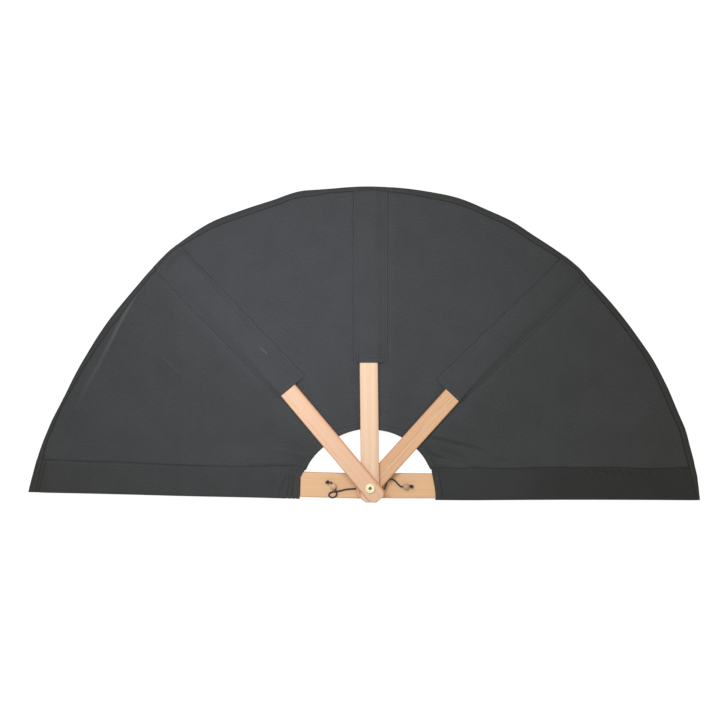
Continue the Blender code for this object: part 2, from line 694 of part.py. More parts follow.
    left_shifts = (LEFT_MOUTH_SHIFT, LEFT_TIP_SHIFT)
    middle_shifts = (MIDDLE_MOUTH_SHIFT, MIDDLE_TIP_SHIFT)
    right_shifts = (RIGHT_MOUTH_SHIFT, RIGHT_TIP_SHIFT)
    left = pocket(LEFT_RIB_DEG, LEFT_RIB_Z, left_shifts, LEFT_TIP_SLACK)
    middle = pocket(MIDDLE_RIB_DEG, MIDDLE_RIB_Z, middle_shifts, MIDDLE_TIP_SLACK)
    right = pocket(RIGHT_RIB_DEG, RIGHT_RIB_Z, right_shifts, RIGHT_TIP_SLACK)
    far_left = Sleeve(LEFT_GUARD_DEG, GUARD_W, GUARD_REACH, LEFT_GUARD_Z, LEFT_TUNNEL_MOUTH,
                      (0, 0), (FOLD_EASE, LEFT_SEAM_EASE), GUARD_REACH + LEFT_TUNNEL_SLACK,
                      LEFT_TUNNEL_SLANT)
    far_right = Sleeve(RIGHT_GUARD_DEG, GUARD_W, GUARD_REACH, RIGHT_GUARD_Z, RIGHT_TUNNEL_MOUTH,
                       (0, 0), (RIGHT_SEAM_EASE, FOLD_EASE), GUARD_REACH + RIGHT_TUNNEL_SLACK,
                       -RIGHT_TUNNEL_SLANT)
    mesh_object("pocket_left", sleeve_mesh(left, LEFT_HEM_R), cloth, left_arm)
    mesh_object("pocket_middle", sleeve_mesh(middle, MIDDLE_HEM_R), cloth, root)
    mesh_object("pocket_right", sleeve_mesh(right, RIGHT_HEM_R), cloth, right_arm)
    mesh_object("tunnel_left", sleeve_mesh(far_left), cloth, left_end)
    mesh_object("tunnel_right", sleeve_mesh(far_right), cloth, right_end)

    # the leaf between the sleeves
    def edge(sleeve, side, hem_r=None):
        mouth = sleeve.corner(side, "mouth", CLOTH_GAP)
        tip = sleeve.corner(side, "tip", CLOTH_GAP)
        height = sleeve.level - CLOTH_DROP
        if hem_r is None:
            break_x = mouth.lerp(tip, (POCKET_MOUTH - sleeve.mouth) / (sleeve.tip - sleeve.mouth))
            return (mouth, break_x, tip), height
        return (tongue_end(sleeve, side, hem_r, CLOTH_GAP), mouth, tip), height

    leaves = (
        ("leaf_far_left", edge(far_left, -1), edge(left, 1, LEFT_HEM_R),
         FAR_LEFT_RIM, FAR_LEFT_HEM, FAR_LEFT_HANG, left_end),
        ("leaf_mid_left", edge(left, -1, LEFT_HEM_R), edge(middle, 1, MIDDLE_HEM_R),
         MID_LEFT_RIM, MID_LEFT_HEM, MID_LEFT_HANG, left_arm),
        ("leaf_mid_right", edge(middle, -1, MIDDLE_HEM_R), edge(right, 1, RIGHT_HEM_R),
         MID_RIGHT_RIM, MID_RIGHT_HEM, MID_RIGHT_HANG, right_arm),
        ("leaf_far_right", edge(right, -1, RIGHT_HEM_R), edge(far_right, 1),
         FAR_RIGHT_RIM, FAR_RIGHT_HEM, FAR_RIGHT_HANG, right_end),
    )
    for name, from_left, from_right, rims, hems, hangs, parent in leaves:
        mesh_object(name, leaf_mesh(from_left, from_right, rims, hems, hangs), cloth, parent)


build()
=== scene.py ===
"""Looks of the open sauna fan: its sewn cloth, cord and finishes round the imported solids.

Metres, +Z up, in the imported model's frame: the origin is on the pivot axis, X runs to the right
guard rib, Y to the middle rib, and Z towards the screw head.
"""

import math

import bmesh
import bpy
import numpy as np
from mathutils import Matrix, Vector


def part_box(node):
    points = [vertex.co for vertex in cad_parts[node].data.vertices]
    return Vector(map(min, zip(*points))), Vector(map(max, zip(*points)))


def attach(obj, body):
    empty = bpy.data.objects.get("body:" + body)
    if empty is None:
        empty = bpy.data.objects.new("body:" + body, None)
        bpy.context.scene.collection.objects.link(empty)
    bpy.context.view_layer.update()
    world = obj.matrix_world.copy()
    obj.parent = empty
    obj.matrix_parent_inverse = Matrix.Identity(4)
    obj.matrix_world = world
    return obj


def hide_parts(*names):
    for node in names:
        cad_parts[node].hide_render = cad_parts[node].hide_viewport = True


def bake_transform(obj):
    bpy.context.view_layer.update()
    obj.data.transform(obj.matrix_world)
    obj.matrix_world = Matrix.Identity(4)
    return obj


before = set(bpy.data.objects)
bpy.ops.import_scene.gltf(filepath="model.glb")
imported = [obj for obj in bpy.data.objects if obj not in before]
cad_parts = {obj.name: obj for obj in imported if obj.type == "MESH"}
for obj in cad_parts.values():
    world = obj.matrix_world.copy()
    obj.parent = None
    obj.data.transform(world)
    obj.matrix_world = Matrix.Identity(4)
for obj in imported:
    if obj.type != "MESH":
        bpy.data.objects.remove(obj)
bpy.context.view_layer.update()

MM = 0.001

# Camera over the fan, square to the table
EYE = (-0.0162, 0.2053, 1.85)
LENS_MM = 56.4
SENSOR_MM = 36.0

# One soft lamp close over the upper left of the leaf
KEY_AT = (-0.150, 0.300, 0.64)
KEY_SIZE = 0.40
KEY_POWER = 3.5
KEY_COLOUR = (0.82, 0.856, 1.0)
ROOM_COLOUR = (1.0, 0.96, 0.785, 1.0)
ROOM_LEVEL = 0.53

# The white floor: how bright it is by itself, how it takes light, and its grey for other light
FLOOR_REACH = 6.0
FLOOR_Z = -0.0003
FLOOR_GLOW = 0.94
FLOOR_LIT = (0.20, 0.20, 0.20, 1)
FLOOR_PLAIN = (0.85, 0.85, 0.85, 1)

# Rest angles of the ribs, in degrees from +X
LEFT_GUARD_DEG = 178.36
LEFT_RIB_DEG = 130.0
MIDDLE_RIB_DEG = 90.6
RIGHT_RIB_DEG = 48.0
RIGHT_GUARD_DEG = -0.2

# Ribs
RIB_HALF = 0.01475
RIB_T = 0.006
RIB_REACH = 0.470
GUARD_HALF = 0.0205
GUARD_REACH = 0.522

# Cloth and the plan of its sleeves
CLOTH_T = 0.0005
CLOTH_DROP = 0.0011
OVER_RIB = 0.00025
SLEEVE_SIDE = 0.0011
POCKET_EASE = 0.01165
POCKET_MOUTH = 0.203
FOLD_EASE = 0.0022
LEFT_SEAM_EASE = 0.0054
RIGHT_SEAM_EASE = 0.0084
LEFT_TUNNEL_MOUTH = 0.110
RIGHT_TUNNEL_MOUTH = 0.105
TONGUE_LAP = 0.0015
BORDER_REACH = (0.06, 0.62)

# The rim and the inner hem: radius from the pivot at an angle in degrees
RIM = (
    (-3, 0.5405), (1, 0.5352), (4, 0.5317), (7, 0.5279), (10, 0.5248), (13, 0.5193), (19, 0.5121),
    (25, 0.5060), (28, 0.5015), (31, 0.4978), (34, 0.4948), (37, 0.4923), (40, 0.4903),
    (43, 0.4892), (46, 0.4905), (49, 0.4896), (52, 0.4877), (58, 0.4867), (61, 0.4883),
    (67, 0.4877), (73, 0.4893), (79, 0.4867), (85, 0.4850), (94, 0.4852), (97, 0.4857),
    (100, 0.4878), (103, 0.4910), (109, 0.4895), (115, 0.4927), (121, 0.4978), (127, 0.4980),
    (130, 0.4988), (133, 0.4976), (136, 0.4960), (139, 0.4958), (142, 0.4972), (148, 0.5026),
    (154, 0.5095), (160, 0.5162), (163, 0.5198), (166, 0.5255), (169, 0.5325), (172, 0.5381),
    (175, 0.5433), (178, 0.5493), (181.5, 0.5575),
)
HEM = (
    (-3, 0.1065), (4, 0.1060), (13, 0.1030), (20, 0.1010), (28, 0.0994), (38, 0.0975), (58, 0.0950),
    (70, 0.0940), (81, 0.0933), (99, 0.0945), (109, 0.0953), (120, 0.0966), (138, 0.0994),
    (151, 0.1031), (160, 0.1060), (168, 0.1083), (174, 0.1110), (182, 0.1150),
)
RIM_HEM_WIDTH = (
    (-3, 0.0020), (-1.5, 0.0048), (1.5, 0.0086), (10, 0.0088), (16, 0.0100), (22, 0.0090),
    (28, 0.0080), (34, 0.0089), (38, 0.0086), (41, 0.0074), (44, 0.0066), (46.5, 0.0056),
    (49.5, 0.0074), (53, 0.0083), (58, 0.0092), (66, 0.0088), (80, 0.0088), (83, 0.0079),
    (86, 0.0074), (88.5, 0.0058), (91.5, 0.0062), (94.5, 0.0070), (97.5, 0.0060), (100.5, 0.0087),
    (106, 0.0088), (114, 0.0096), (121, 0.0087), (124.5, 0.0071), (128, 0.0050), (130.5, 0.0038),
    (134, 0.0054), (140, 0.0072), (145.5, 0.0091), (150, 0.0089), (154.5, 0.0075), (160, 0.0062),
    (163.5, 0.0040), (170, 0.0055), (173, 0.0060), (175.5, 0.0089), (178.5, 0.0105), (182, 0.0122),
)
INNER_HEM_WIDTH = 0.0085
END_FADE = 0.021
RIM_LIP = 0.0009
RIM_RISE = 0.0009
RIM_TUCK = 0.0016
RIM_TROUGH = 0.0009
STITCH_INSET = 0.0015

# The taut leaf holds the sleeves' seams off the floor, and falls away from them
SEAM_LIFT = 0.0031
GUARD_TUCK = 0.003
LIFT_FALL = 0.045
LIFT_START = 0.040

# A ridge in the far left of the leaf: how far inside the rim, and how high
RIDGE_INSIDE = (
    (134, 0.0055), (139.5, 0.0096), (142.5, 0.0134), (146, 0.0177), (152, 0.0212), (159, 0.0266),
    (165, 0.0275), (171.5, 0.0390), (178, 0.0460),
)
RIDGE_HEIGHT = (
    (133, 0.0), (138, 0.0016), (142, 0.0026), (148, 0.0030), (155, 0.0024), (162, 0.0017),
    (170, 0.0012), (177, 0.0004), (181, 0.0),
)
RIDGE_FACE = 0.0042

# The tunnels' mouths along the guards, and their folds below them: (across, along), (along, below)
LEFT_TUNNEL_ENDS = (
    (-0.0250, 0.1124), (-0.0190, 0.1138), (0.0105, 0.1137), (0.0210, 0.1078), (0.0300, 0.1024),
)
RIGHT_TUNNEL_ENDS = (
    (-0.0250, 0.1076), (-0.0075, 0.1064), (0.0048, 0.1043), (0.0200, 0.1014), (0.0320, 0.1000),
)
LEFT_FOLD = (
    (0.100, 0.0240), (0.200, 0.0241), (0.290, 0.0248), (0.400, 0.0250), (0.480, 0.0254),
    (0.560, 0.0262),
)
RIGHT_FOLD = (
    (0.100, 0.0233), (0.165, 0.0235), (0.230, 0.0229), (0.300, 0.0223), (0.450, 0.0220),
    (0.540, 0.0223),
)

# How far inside its plan each tunnel's seam wanders, along the guard, and from where across it
WANDER_FROM = 0.014
WANDER_RUN = 0.010
LEFT_WANDER = (
    (0.105, -0.0026), (0.130, -0.0025), (0.147, -0.0020), (0.162, -0.0013), (0.180, 0.0),
    (0.212, 0.0010), (0.260, 0.0015), (0.294, 0.0019), (0.330, 0.0014), (0.375, 0.0004),
    (0.422, -0.0004), (0.470, -0.0004), (0.520, -0.0011),
)
RIGHT_WANDER = (
    (0.100, 0.0012), (0.130, 0.0008), (0.147, 0.0016), (0.165, -0.0003), (0.180, 0.0001),
    (0.208, 0.0016), (0.245, 0.0010), (0.277, -0.0005), (0.341, -0.0006), (0.406, -0.0008),
    (0.430, 0.0001), (0.471, 0.0006), (0.505, -0.0010),
)

# How softly the leaf meets the floor, and the share of it that crosses to the next sleeve when shut
FLOOR_BLEND = 0.0015
CROSSING = 0.05
LOBE_POWER = 0.8

# Free ends of the cord: the routes of the solids
CORD_R = 0.0013
LEFT_CORD_ROUTE = (
    (-0.0091, -0.0015, 0.0194), (-0.0165, -0.0030, 0.0194), (-0.0250, -0.0038, 0.0194),
    (-0.0391, -0.0048, 0.0195), (-0.0500, -0.0074, 0.0195), (-0.0565, -0.0083, 0.0195),
    (-0.0617, -0.0090, 0.0195), (-0.0655, -0.0112, 0.0195), (-0.0665, -0.0143, 0.0196),
    (-0.0642, -0.0172, 0.0198), (-0.0602, -0.0180, 0.0204), (-0.0562, -0.0162, 0.0213),
    (-0.0541, -0.0124, 0.0221), (-0.0545, -0.0087, 0.0226), (-0.0560, -0.0050, 0.0231),
    (-0.0574, -0.0025, 0.0233), (-0.0591, 0.0006, 0.0233), (-0.0620, 0.0058, 0.0233),
    (-0.0633, 0.0071, 0.0232), (-0.0653, 0.0073, 0.0231),
)
RIGHT_CORD_ROUTE = (
    (0.0090, -0.0020, 0.0194), (0.0160, -0.0046, 0.0194), (0.0215, -0.0050, 0.0194),
    (0.0247, -0.0010, 0.0194), (0.0266, 0.0050, 0.0194), (0.0290, 0.0096, 0.0190),
    (0.0329, 0.0115, 0.0166), (0.0372, 0.0109, 0.0132), (0.0412, 0.0080, 0.0114),
    (0.0447, 0.0042, 0.0115), (0.0479, 0.0010, 0.0128), (0.0506, -0.0006, 0.0143),
    (0.0532, -0.0006, 0.0146), (0.0588, -0.0006, 0.0146), (0.0640, -0.0006, 0.0146),
)


# Small shapes of numbers
def smooth(t):
    t = np.clip(t, 0, 1)
    return t * t * (3 - 2 * t)


def curve_through(table, at):
    """A smooth curve through the table's (place, value) pairs, at one place or many."""
    xs, ys = (np.array(v, float) for v in zip(*sorted(table)))
    slopes = np.gradient(ys, xs)
    at = np.asarray(at, float)
    k = np.clip(np.searchsorted(xs, at) - 1, 0, len(xs) - 2)
    span = xs[k + 1] - xs[k]
    t = np.clip((at - xs[k]) / span, 0, 1)
    rise = ys[k + 1] - ys[k]
    a, b = slopes[k] * span, slopes[k + 1] * span
    return ys[k] + a * t + (3 * rise - 2 * a - b) * t**2 + (a + b - 2 * rise) * t**3


def straight(table, at):
    """Straight lines between the pairs of a table."""
    return np.interp(at, *np.array(table).T)


def least(a, b, blend):
    """The smaller of two, with the corner between them rounded over about the blend."""
    step = np.clip(0.5 + 0.5 * (b - a) / blend, 0, 1)
    return b + (a - b) * step - blend * step * (1 - step)


def bump_at(value, centre, width):
    return np.exp(-(((value - centre) / width) ** 2))


def grid(*xyz):
    """Points from the arrays of their coordinates."""
    return np.stack(xyz, -1)


def polar(r, turn):
    """World x and y at a radius and an angle in degrees."""
    return r * np.cos(np.radians(turn)), r * np.sin(np.radians(turn))


def angle_of(x, y):
    """Degrees from +X, from -90 up to 270, so that the whole fan is one run."""
    turn = np.degrees(np.arctan2(y, x))
    return np.where(turn < -90, turn + 360, turn)


def on_floor(z):
    soft = (z + FLOOR_BLEND) ** 2 / (4 * FLOOR_BLEND)
    return np.where(z <= -FLOOR_BLEND, 0.0, np.where(z >= FLOOR_BLEND, z, soft))


def rim_at(turn):
    return curve_through(RIM, turn)


def hem_at(turn):
    return curve_through(HEM, turn)


class Sleeve:
    """The plan of a cloth sleeve: x runs along its own line, y across it, and its rib may lie askew."""

    def __init__(self, rib, rib_deg, half, reach, mouth, eases, shifts=(0, 0), own_mouth=None):
        self.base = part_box(rib)[0].z - CLOTH_DROP
        self.rib_deg, self.half, self.reach = rib_deg, half, reach
        turn = math.radians(rib_deg)
        self.rib_u = np.array((math.cos(turn), math.sin(turn)))
        self.rib_n = np.array((-self.rib_u[1], self.rib_u[0]))
        near = self.rib_u * mouth + self.rib_n * shifts[0]
        far = self.rib_u * reach + self.rib_n * shifts[1]
        self.u = (far - near) / np.linalg.norm(far - near)
        self.n = np.array((-self.u[1], self.u[0]))
        skew = turn - math.atan2(self.u[1], self.u[0])
        self.skew = (skew + math.pi) % (2 * math.pi) - math.pi
        offset = float(near @ self.n)
        self.mouth = float(near @ self.u)
        side = half + SLEEVE_SIDE
        self.edge = {1: offset + side + eases[0], -1: offset - side - eases[1]}
        self.hem_strip = own_mouth is not None
        self.own_mouth = own_mouth

    def fold_at(self, x):
        """How far below a guard's line its tunnel is folded over."""
        return curve_through(LEFT_FOLD if self is left_guard else RIGHT_FOLD, x)

    def wander(self, x):
        return curve_through(LEFT_WANDER if self is left_guard else RIGHT_WANDER, x)

    def sewn(self, x, q):
        """q of a spot of a tunnel's front, once its seam has wandered."""
        return q - self.wander(x) * smooth((q - WANDER_FROM) / WANDER_RUN)

    def lift_share(self, x):
        """How fully the seams are held up at x: not yet by the mouth, and no more by the rim."""
        rising = smooth((x - self.mouth) / LIFT_START)
        return rising * (1 - smooth((x - self.reach + 2 * MM) / END_FADE))

    def raised(self, x, y, side):
        """Height that the taut cloth keeps over the floor beside this sleeve."""
        q = y * side
        seam = abs(self.edge[side])
        if self.hem_strip:
            start = side * x * math.tan(self.skew) + self.half / math.cos(self.skew)
        else:
            start = self.half - GUARD_TUCK
        under = smooth((q - start) / np.maximum(seam - start, 1.0 * MM))
        beyond = 1 - smooth((q - seam) / LIFT_FALL)
        return SEAM_LIFT * self.lift_share(x) * np.where(q < seam, under, beyond)

    def mouth_at(self, y):
        """Where a pocket's cloth starts along its strip."""
        return self.own_mouth[0] + self.own_mouth[1] * y

    def plan(self, x, y):
        """World x and y of a point of the sleeve."""
        return x * self.u[0] + y * self.n[0], x * self.u[1] + y * self.n[1]

    def own(self, x, y):
        """The sleeve's x and y of a point of the world."""
        return x * self.u[0] + y * self.u[1], x * self.n[0] + y * self.n[1]

    def rim_x(self, y, inset=0.0):
        """Where a line along the sleeve at y meets the rim."""
        x = np.full_like(np.asarray(y, float), self.reach)
        for _ in range(4):
            radius = rim_at(angle_of(*self.plan(x, y))) - inset
            x = np.sqrt(radius**2 - np.asarray(y) ** 2)
        return x

    def border(self, side):
        """Radii and angles of the line where the leaf leaves this sleeve on one side."""
        y = self.edge[side]
        corners = [np.array(self.plan(self.mouth, y)), np.array(self.plan(BORDER_REACH[1], y))]
        if self.hem_strip:
            hem_r = float(hem_at(self.rib_deg))
            lap = side * (self.half + TONGUE_LAP)
            corners.insert(0, self.rib_u * math.sqrt(hem_r**2 - lap**2) + self.rib_n * lap)
        else:
            corners.insert(0, np.array(self.plan(BORDER_REACH[0], y)))
        spots = []
        for a, b in zip(corners, corners[1:]):
            spots += [a + (b - a) * t for t in np.linspace(0, 1, 60)]
        spots = np.array(spots)
        return np.hypot(*spots.T), angle_of(*spots.T)


left_guard = Sleeve("guard_left", LEFT_GUARD_DEG, GUARD_HALF, GUARD_REACH, LEFT_TUNNEL_MOUTH,
                    (FOLD_EASE, LEFT_SEAM_EASE))
right_guard = Sleeve("guard_right", RIGHT_GUARD_DEG, GUARD_HALF, GUARD_REACH, RIGHT_TUNNEL_MOUTH,
                     (RIGHT_SEAM_EASE, FOLD_EASE))
left_rib, middle_rib, right_rib = (
    Sleeve(rib, deg, RIB_HALF, RIB_REACH, POCKET_MOUTH, (POCKET_EASE, POCKET_EASE), shifts, mouth)
    for rib, deg, shifts, mouth in (
        # shifts of the strip's two ends; where its mouth lies, and how that grows across it
        ("rib_left", LEFT_RIB_DEG, (-0.0080, 0.0098), (0.2053, 0.070)),
        ("rib_middle", MIDDLE_RIB_DEG, (-0.0028, -0.0056), (0.2008, 0.0)),
        ("rib_right", RIGHT_RIB_DEG, (0.0088, -0.0096), (0.1995, -0.044)),
    )
)


# Leaf panels between the ribs
PANEL_LAP = 0.0028
HEM_INSET = 0.0003
EASE_SHARE = 0.55
SWELL = 0.0011
WAVES = ((31, 9, 0.4, 1.0), (-17, 26, 1.9, 0.9), (44, -21, 3.1, 0.5), (12, 58, 5.0, 0.45))
LOOSE_SHARE = 0.12
FREE_SHARE = 0.03
RIM_RISE_FROM = 0.022
RIM_RISE_RUN = 0.020
CREASE_TAIL = 2.2
CREASES = (
    # x0, y0, x1, y1, half width, height
    (-0.338, 0.212, -0.305, 0.179, 0.0028, 0.0006),
    (0.0940, 0.0780, 0.1448, 0.0665, 0.0110, 0.0020),
    (0.1448, 0.0665, 0.1978, 0.0590, 0.0110, 0.0013),
    (0.0965, 0.0792, 0.1448, 0.0675, 0.0034, -0.0021),
    (0.1448, 0.0675, 0.1978, 0.0597, 0.0042, -0.0013),
    (0.0911, 0.0621, 0.1089, 0.0472, 0.0028, -0.0013),
    (0.1089, 0.0472, 0.1511, 0.0372, 0.0030, -0.0012),
    (-0.1507, -0.0036, -0.1380, 0.0166, 0.0030, 0.0003),
    (0.1150, 0.1720, 0.1420, 0.1690, 0.0028, 0.0008),
    (-0.1080, 0.0500, -0.1500, 0.0600, 0.0045, 0.0010),
    (0.4300, 0.0900, 0.4800, 0.1500, 0.0120, 0.0010),
)


def creases(x, y):
    rise = np.zeros_like(x)
    for x0, y0, x1, y1, width, height in CREASES:
        long = math.hypot(x1 - x0, y1 - y0)
        ux, uy = (x1 - x0) / long, (y1 - y0) / long
        along = ((x - x0) * ux + (y - y0) * uy) / long
        aside = (x - x0) * -uy + (y - y0) * ux
        beyond = np.clip(np.maximum(-along, along - 1), 0, None) * long
        rise += height * np.exp(-((aside / width) ** 2) - (beyond / (CREASE_TAIL * width)) ** 2)
    return rise


def swell(x, y):
    """Long soft waves of cloth that lies a little loose."""
    return sum(a * np.sin(kx * x + ky * y + p) for kx, ky, p, a in WAVES) * SWELL / 2.2


def ridge(r, turn, band):
    """A fold standing up inside the rim: a short face to the leaf, a long one to the rim."""
    top = rim_at(turn) - curve_through(RIDGE_INSIDE, turn)
    outward = np.clip((r - top) / np.maximum(band - top, 2 * MM), 0, 1)
    inward = smooth((top - r) / RIDGE_FACE)
    return curve_through(RIDGE_HEIGHT, turn) * (1 - np.where(r > top, 0.9 * outward, inward))


class Panel:
    """A stretch of leaf from one rib's line to the next, clockwise, between their two bodies."""

    def __init__(self, name, left, right, hang, bodies, joint_deg, lobe_deg):
        self.name, self.left, self.right, self.hang = name, left, right, hang
        self.bodies, self.joint_deg, self.lobe_deg = bodies, joint_deg, lobe_deg
        self.crossing_last = name == "far_left"
        self.left_line = left.border(-1)
        self.right_line = right.border(1)

    def ends(self, r, side):
        """Angle of the panel's own side edge at a radius: a rib's line, or just inside a tunnel."""
        sleeve = self.left if side == -1 else self.right
        if sleeve.hem_strip:
            return np.full_like(r, sleeve.rib_deg)
        y = sleeve.edge[side] - side * PANEL_LAP
        return sleeve.rib_deg + np.degrees(np.arcsin(np.clip(y / r, -1, 1)))

    def share(self, r, turn):
        left = np.interp(r, *self.left_line)
        right = np.interp(r, *self.right_line)
        return np.clip((left - turn) / (left - right), 0, 1), left, right

    def height(self, x, y):
        """Height of the cloth's back."""
        r, turn = np.hypot(x, y), angle_of(x, y)
        s, _, _ = self.share(r, turn)
        out = np.clip((r - hem_at(turn)) / (rim_at(turn) - hem_at(turn)), 0, 1)
        level = np.clip((s if self.crossing_last else s - CROSSING) / (1 - CROSSING), 0, 1)
        eased = level + EASE_SHARE * (smooth(level) - level)
        hang = curve_through(tuple(zip((0, 0.25, 0.5, 0.75, 1), (0, *self.hang, 0))), level)
        z = self.left.base + (self.right.base - self.left.base) * eased - hang * out
        loose = smooth(s / LOOSE_SHARE) * smooth((1 - s) / LOOSE_SHARE)
        free = smooth(s / FREE_SHARE) * smooth((1 - s) / FREE_SHARE)
        band = rim_at(turn) - curve_through(RIM_HEM_WIDTH, turn)
        rise = RIM_RISE * smooth((r - band + RIM_RISE_FROM) / RIM_RISE_RUN)
        held = self.left.raised(*self.left.own(x, y), -1) + self.right.raised(*self.right.own(x, y), 1)
        if self.name == "far_left":
            rise = rise + ridge(r, turn, band)
        waves = loose * (swell(x, y) * 0.5 + SWELL * 0.5) + free * (creases(x, y) + rise)
        return on_floor(z) + waves + held

    def weights(self, x, y):
        """Share of the joint's turn that each point takes. Shut, the leaf crosses between two
        sleeves and bulges out beside them."""
        turn = angle_of(x, y)
        s, left, right = self.share(np.hypot(x, y), turn)
        first = self.name.endswith("left")
        turned = -self.joint_deg if first else self.joint_deg
        from_left = left + (turned if first else 0)
        to_right = right + (0 if first else turned)
        if self.crossing_last:
            crossed = smooth((s - 1 + CROSSING) / CROSSING)
            free, way = s / (1 - CROSSING), -1
        else:
            crossed = smooth(s / CROSSING)
            free, way = (s - CROSSING) / (1 - CROSSING), 1
        lobe = way * self.lobe_deg * np.sin(np.pi * np.clip(free, 0, 1)) ** LOBE_POWER
        shut = from_left + (to_right - from_left) * crossed + lobe
        weight = np.clip((shut - turn) / turned, 0, 1)
        return np.where((s <= 0) | (s >= 1), np.where(s <= 0, first, not first), weight)

    def spots(self, s, t):
        """World x and y at shares s across and t outward, from the inner edge to the rim's band."""
        turn = self.left.rib_deg + (self.right.rib_deg - self.left.rib_deg) * s
        for _ in range(5):
            low = hem_at(turn) + HEM_INSET
            high = rim_at(turn) - curve_through(RIM_HEM_WIDTH, turn) + RIM_TUCK
            r = low + (high - low) * t
            turn = self.ends(r, -1) + (self.ends(r, 1) - self.ends(r, -1)) * s
        return polar(r, turn)


PANELS = tuple(Panel(*each) for each in (
    # name, left, right, how far it hangs below a straight line at its quarters, bodies, the turn
    # of its joint, and by how many degrees it bulges out when that is shut
    ("far_left", left_guard, left_rib, (0.0220, 0.0260, 0.0120), ("left_rib", "left_guard"), 48.36, 8.0),
    ("mid_left", left_rib, middle_rib, (0.0070, 0.0080, 0.0060), ("fan_middle", "left_rib"), 39.4, 7.5),
    ("mid_right", middle_rib, right_rib, (0.0070, 0.0080, 0.0060), ("fan_middle", "right_rib"), 42.6,
     6.0),
    ("far_right", right_rib, right_guard, (0.0070, 0.0140, 0.0100), ("right_rib", "right_guard"), 48.2,
     8.5),
))


# Heights of the sewn-on strips over the leaf's back
EDGE_WAVE = 0.0005
EDGE_WAVE_LONG = 0.043
STRIP_HEM = 0.0062
MOUTH_HEM = 0.0068
GROOVE = 0.00028
GROOVE_HALF = 0.0007
SHOULDER = 0.0012
POCKET_SLOPE = 1.12
TUNNEL_SLOPE = 1.1


def under_rib(sleeve, x, low, top, fall):
    """Height that a sleeve's cloth keeps over its rib, and loses beyond the rib's end."""
    return low + np.maximum(top - low, 0) * (1 - smooth((x - sleeve.reach + 1.0 * MM) / fall))


def risen(low, high, inward, room, power):
    """The slope from a seam's height up towards the rib's."""
    slope = low + (high - low) * np.clip(inward / room, 0, None) ** power
    return np.where(inward > 0, slope, low)


def strip_lift(sleeve, x, y):
    """Height of a pocket's underside over the leaf's back: flat at its seams, up over the rib."""
    low = CLOTH_T + 0.05 * MM + SEAM_LIFT * sleeve.lift_share(x)
    high = under_rib(sleeve, x, low, CLOTH_DROP + RIB_T + OVER_RIB, END_FADE)
    rib_y = x * math.tan(sleeve.skew)
    half = sleeve.half / math.cos(sleeve.skew)
    lift = high
    for side in (1, -1):
        seam = sleeve.edge[side] - side * 2 * STITCH_INSET
        room = side * (seam - rib_y) - half + SHOULDER
        lift = least(lift, risen(low, high, side * (seam - y), room, POCKET_SLOPE), 0.9 * MM)
    return np.maximum(lift, low)


def strip_thick(sleeve, x, y):
    """A pocket strip's thickness: doubled along its turned edges, with the seams' grooves."""
    from_side = np.minimum(sleeve.edge[1] - y, y - sleeve.edge[-1])
    from_mouth = x - sleeve.mouth_at(y)
    doubled = 1 - smooth((from_side - STRIP_HEM) / (0.8 * MM)) * smooth(
        (from_mouth - MOUTH_HEM) / (0.8 * MM))
    roll = np.sqrt(np.clip(np.minimum(from_side, from_mouth) / (0.6 * MM), 0.12, 1))
    thick = CLOTH_T * (1 + 0.9 * doubled) * roll
    grooves = bump_at(from_side, STITCH_INSET, GROOVE_HALF)
    grooves = np.maximum(grooves, bump_at(from_mouth, MOUTH_HEM - STITCH_INSET, GROOVE_HALF))
    return thick - GROOVE * grooves


# The tunnels' front over the leaf's back, on the guards
FLAP = 0.0002
GATHERS = ((0.1200, 0.0006, 0.6), (0.1255, 0.0012, 1.0), (0.1302, 0.0038, 1.0))
GATHER_HALF = 0.0012
GATHER_RISE = 0.0006
GATHER_DIP = 1.22
GATHER_SPAN = (0.1262, 0.0125)
# Radii of the black lines of painted shade down the puckers' valleys and along the left mouth's edge
GATHER_LINE_R = 0.0004
MOUTH_LINE_R = 0.0006
LEFT_MOUTH_STITCH = 0.0070
TUNNEL_STITCH = 0.0036
TUNNEL_HEM = 0.0105
# Radii of the black lines of painted shade along the tunnels' seams and along the rim's band
TUNNEL_SHADE_LINE_R = 0.00038
RIM_SHADE_LINE_R = (0.0003, 0.00055)
RIPPLE_LONG = 0.012
RIPPLED_FROM = 0.30
SLOPE_RIPPLE_AT = (0.0215, 0.0050)
TUNNEL_LOW = 0.0026


def gather_x(gather, q):
    """Where a gather's valley lies along the guard."""
    return gather[0] + gather[1] * (0.025 - q) / 0.048


def gathered(x, q):
    """Height of the puckers by the left tunnel's mouth: a swell with three narrow valleys."""
    valleys = sum(each[2] * bump_at(x, gather_x(each, q), GATHER_HALF) for each in GATHERS)
    return GATHER_RISE * bump_at(x, *GATHER_SPAN) * (1 - GATHER_DIP * np.minimum(valleys, 1))


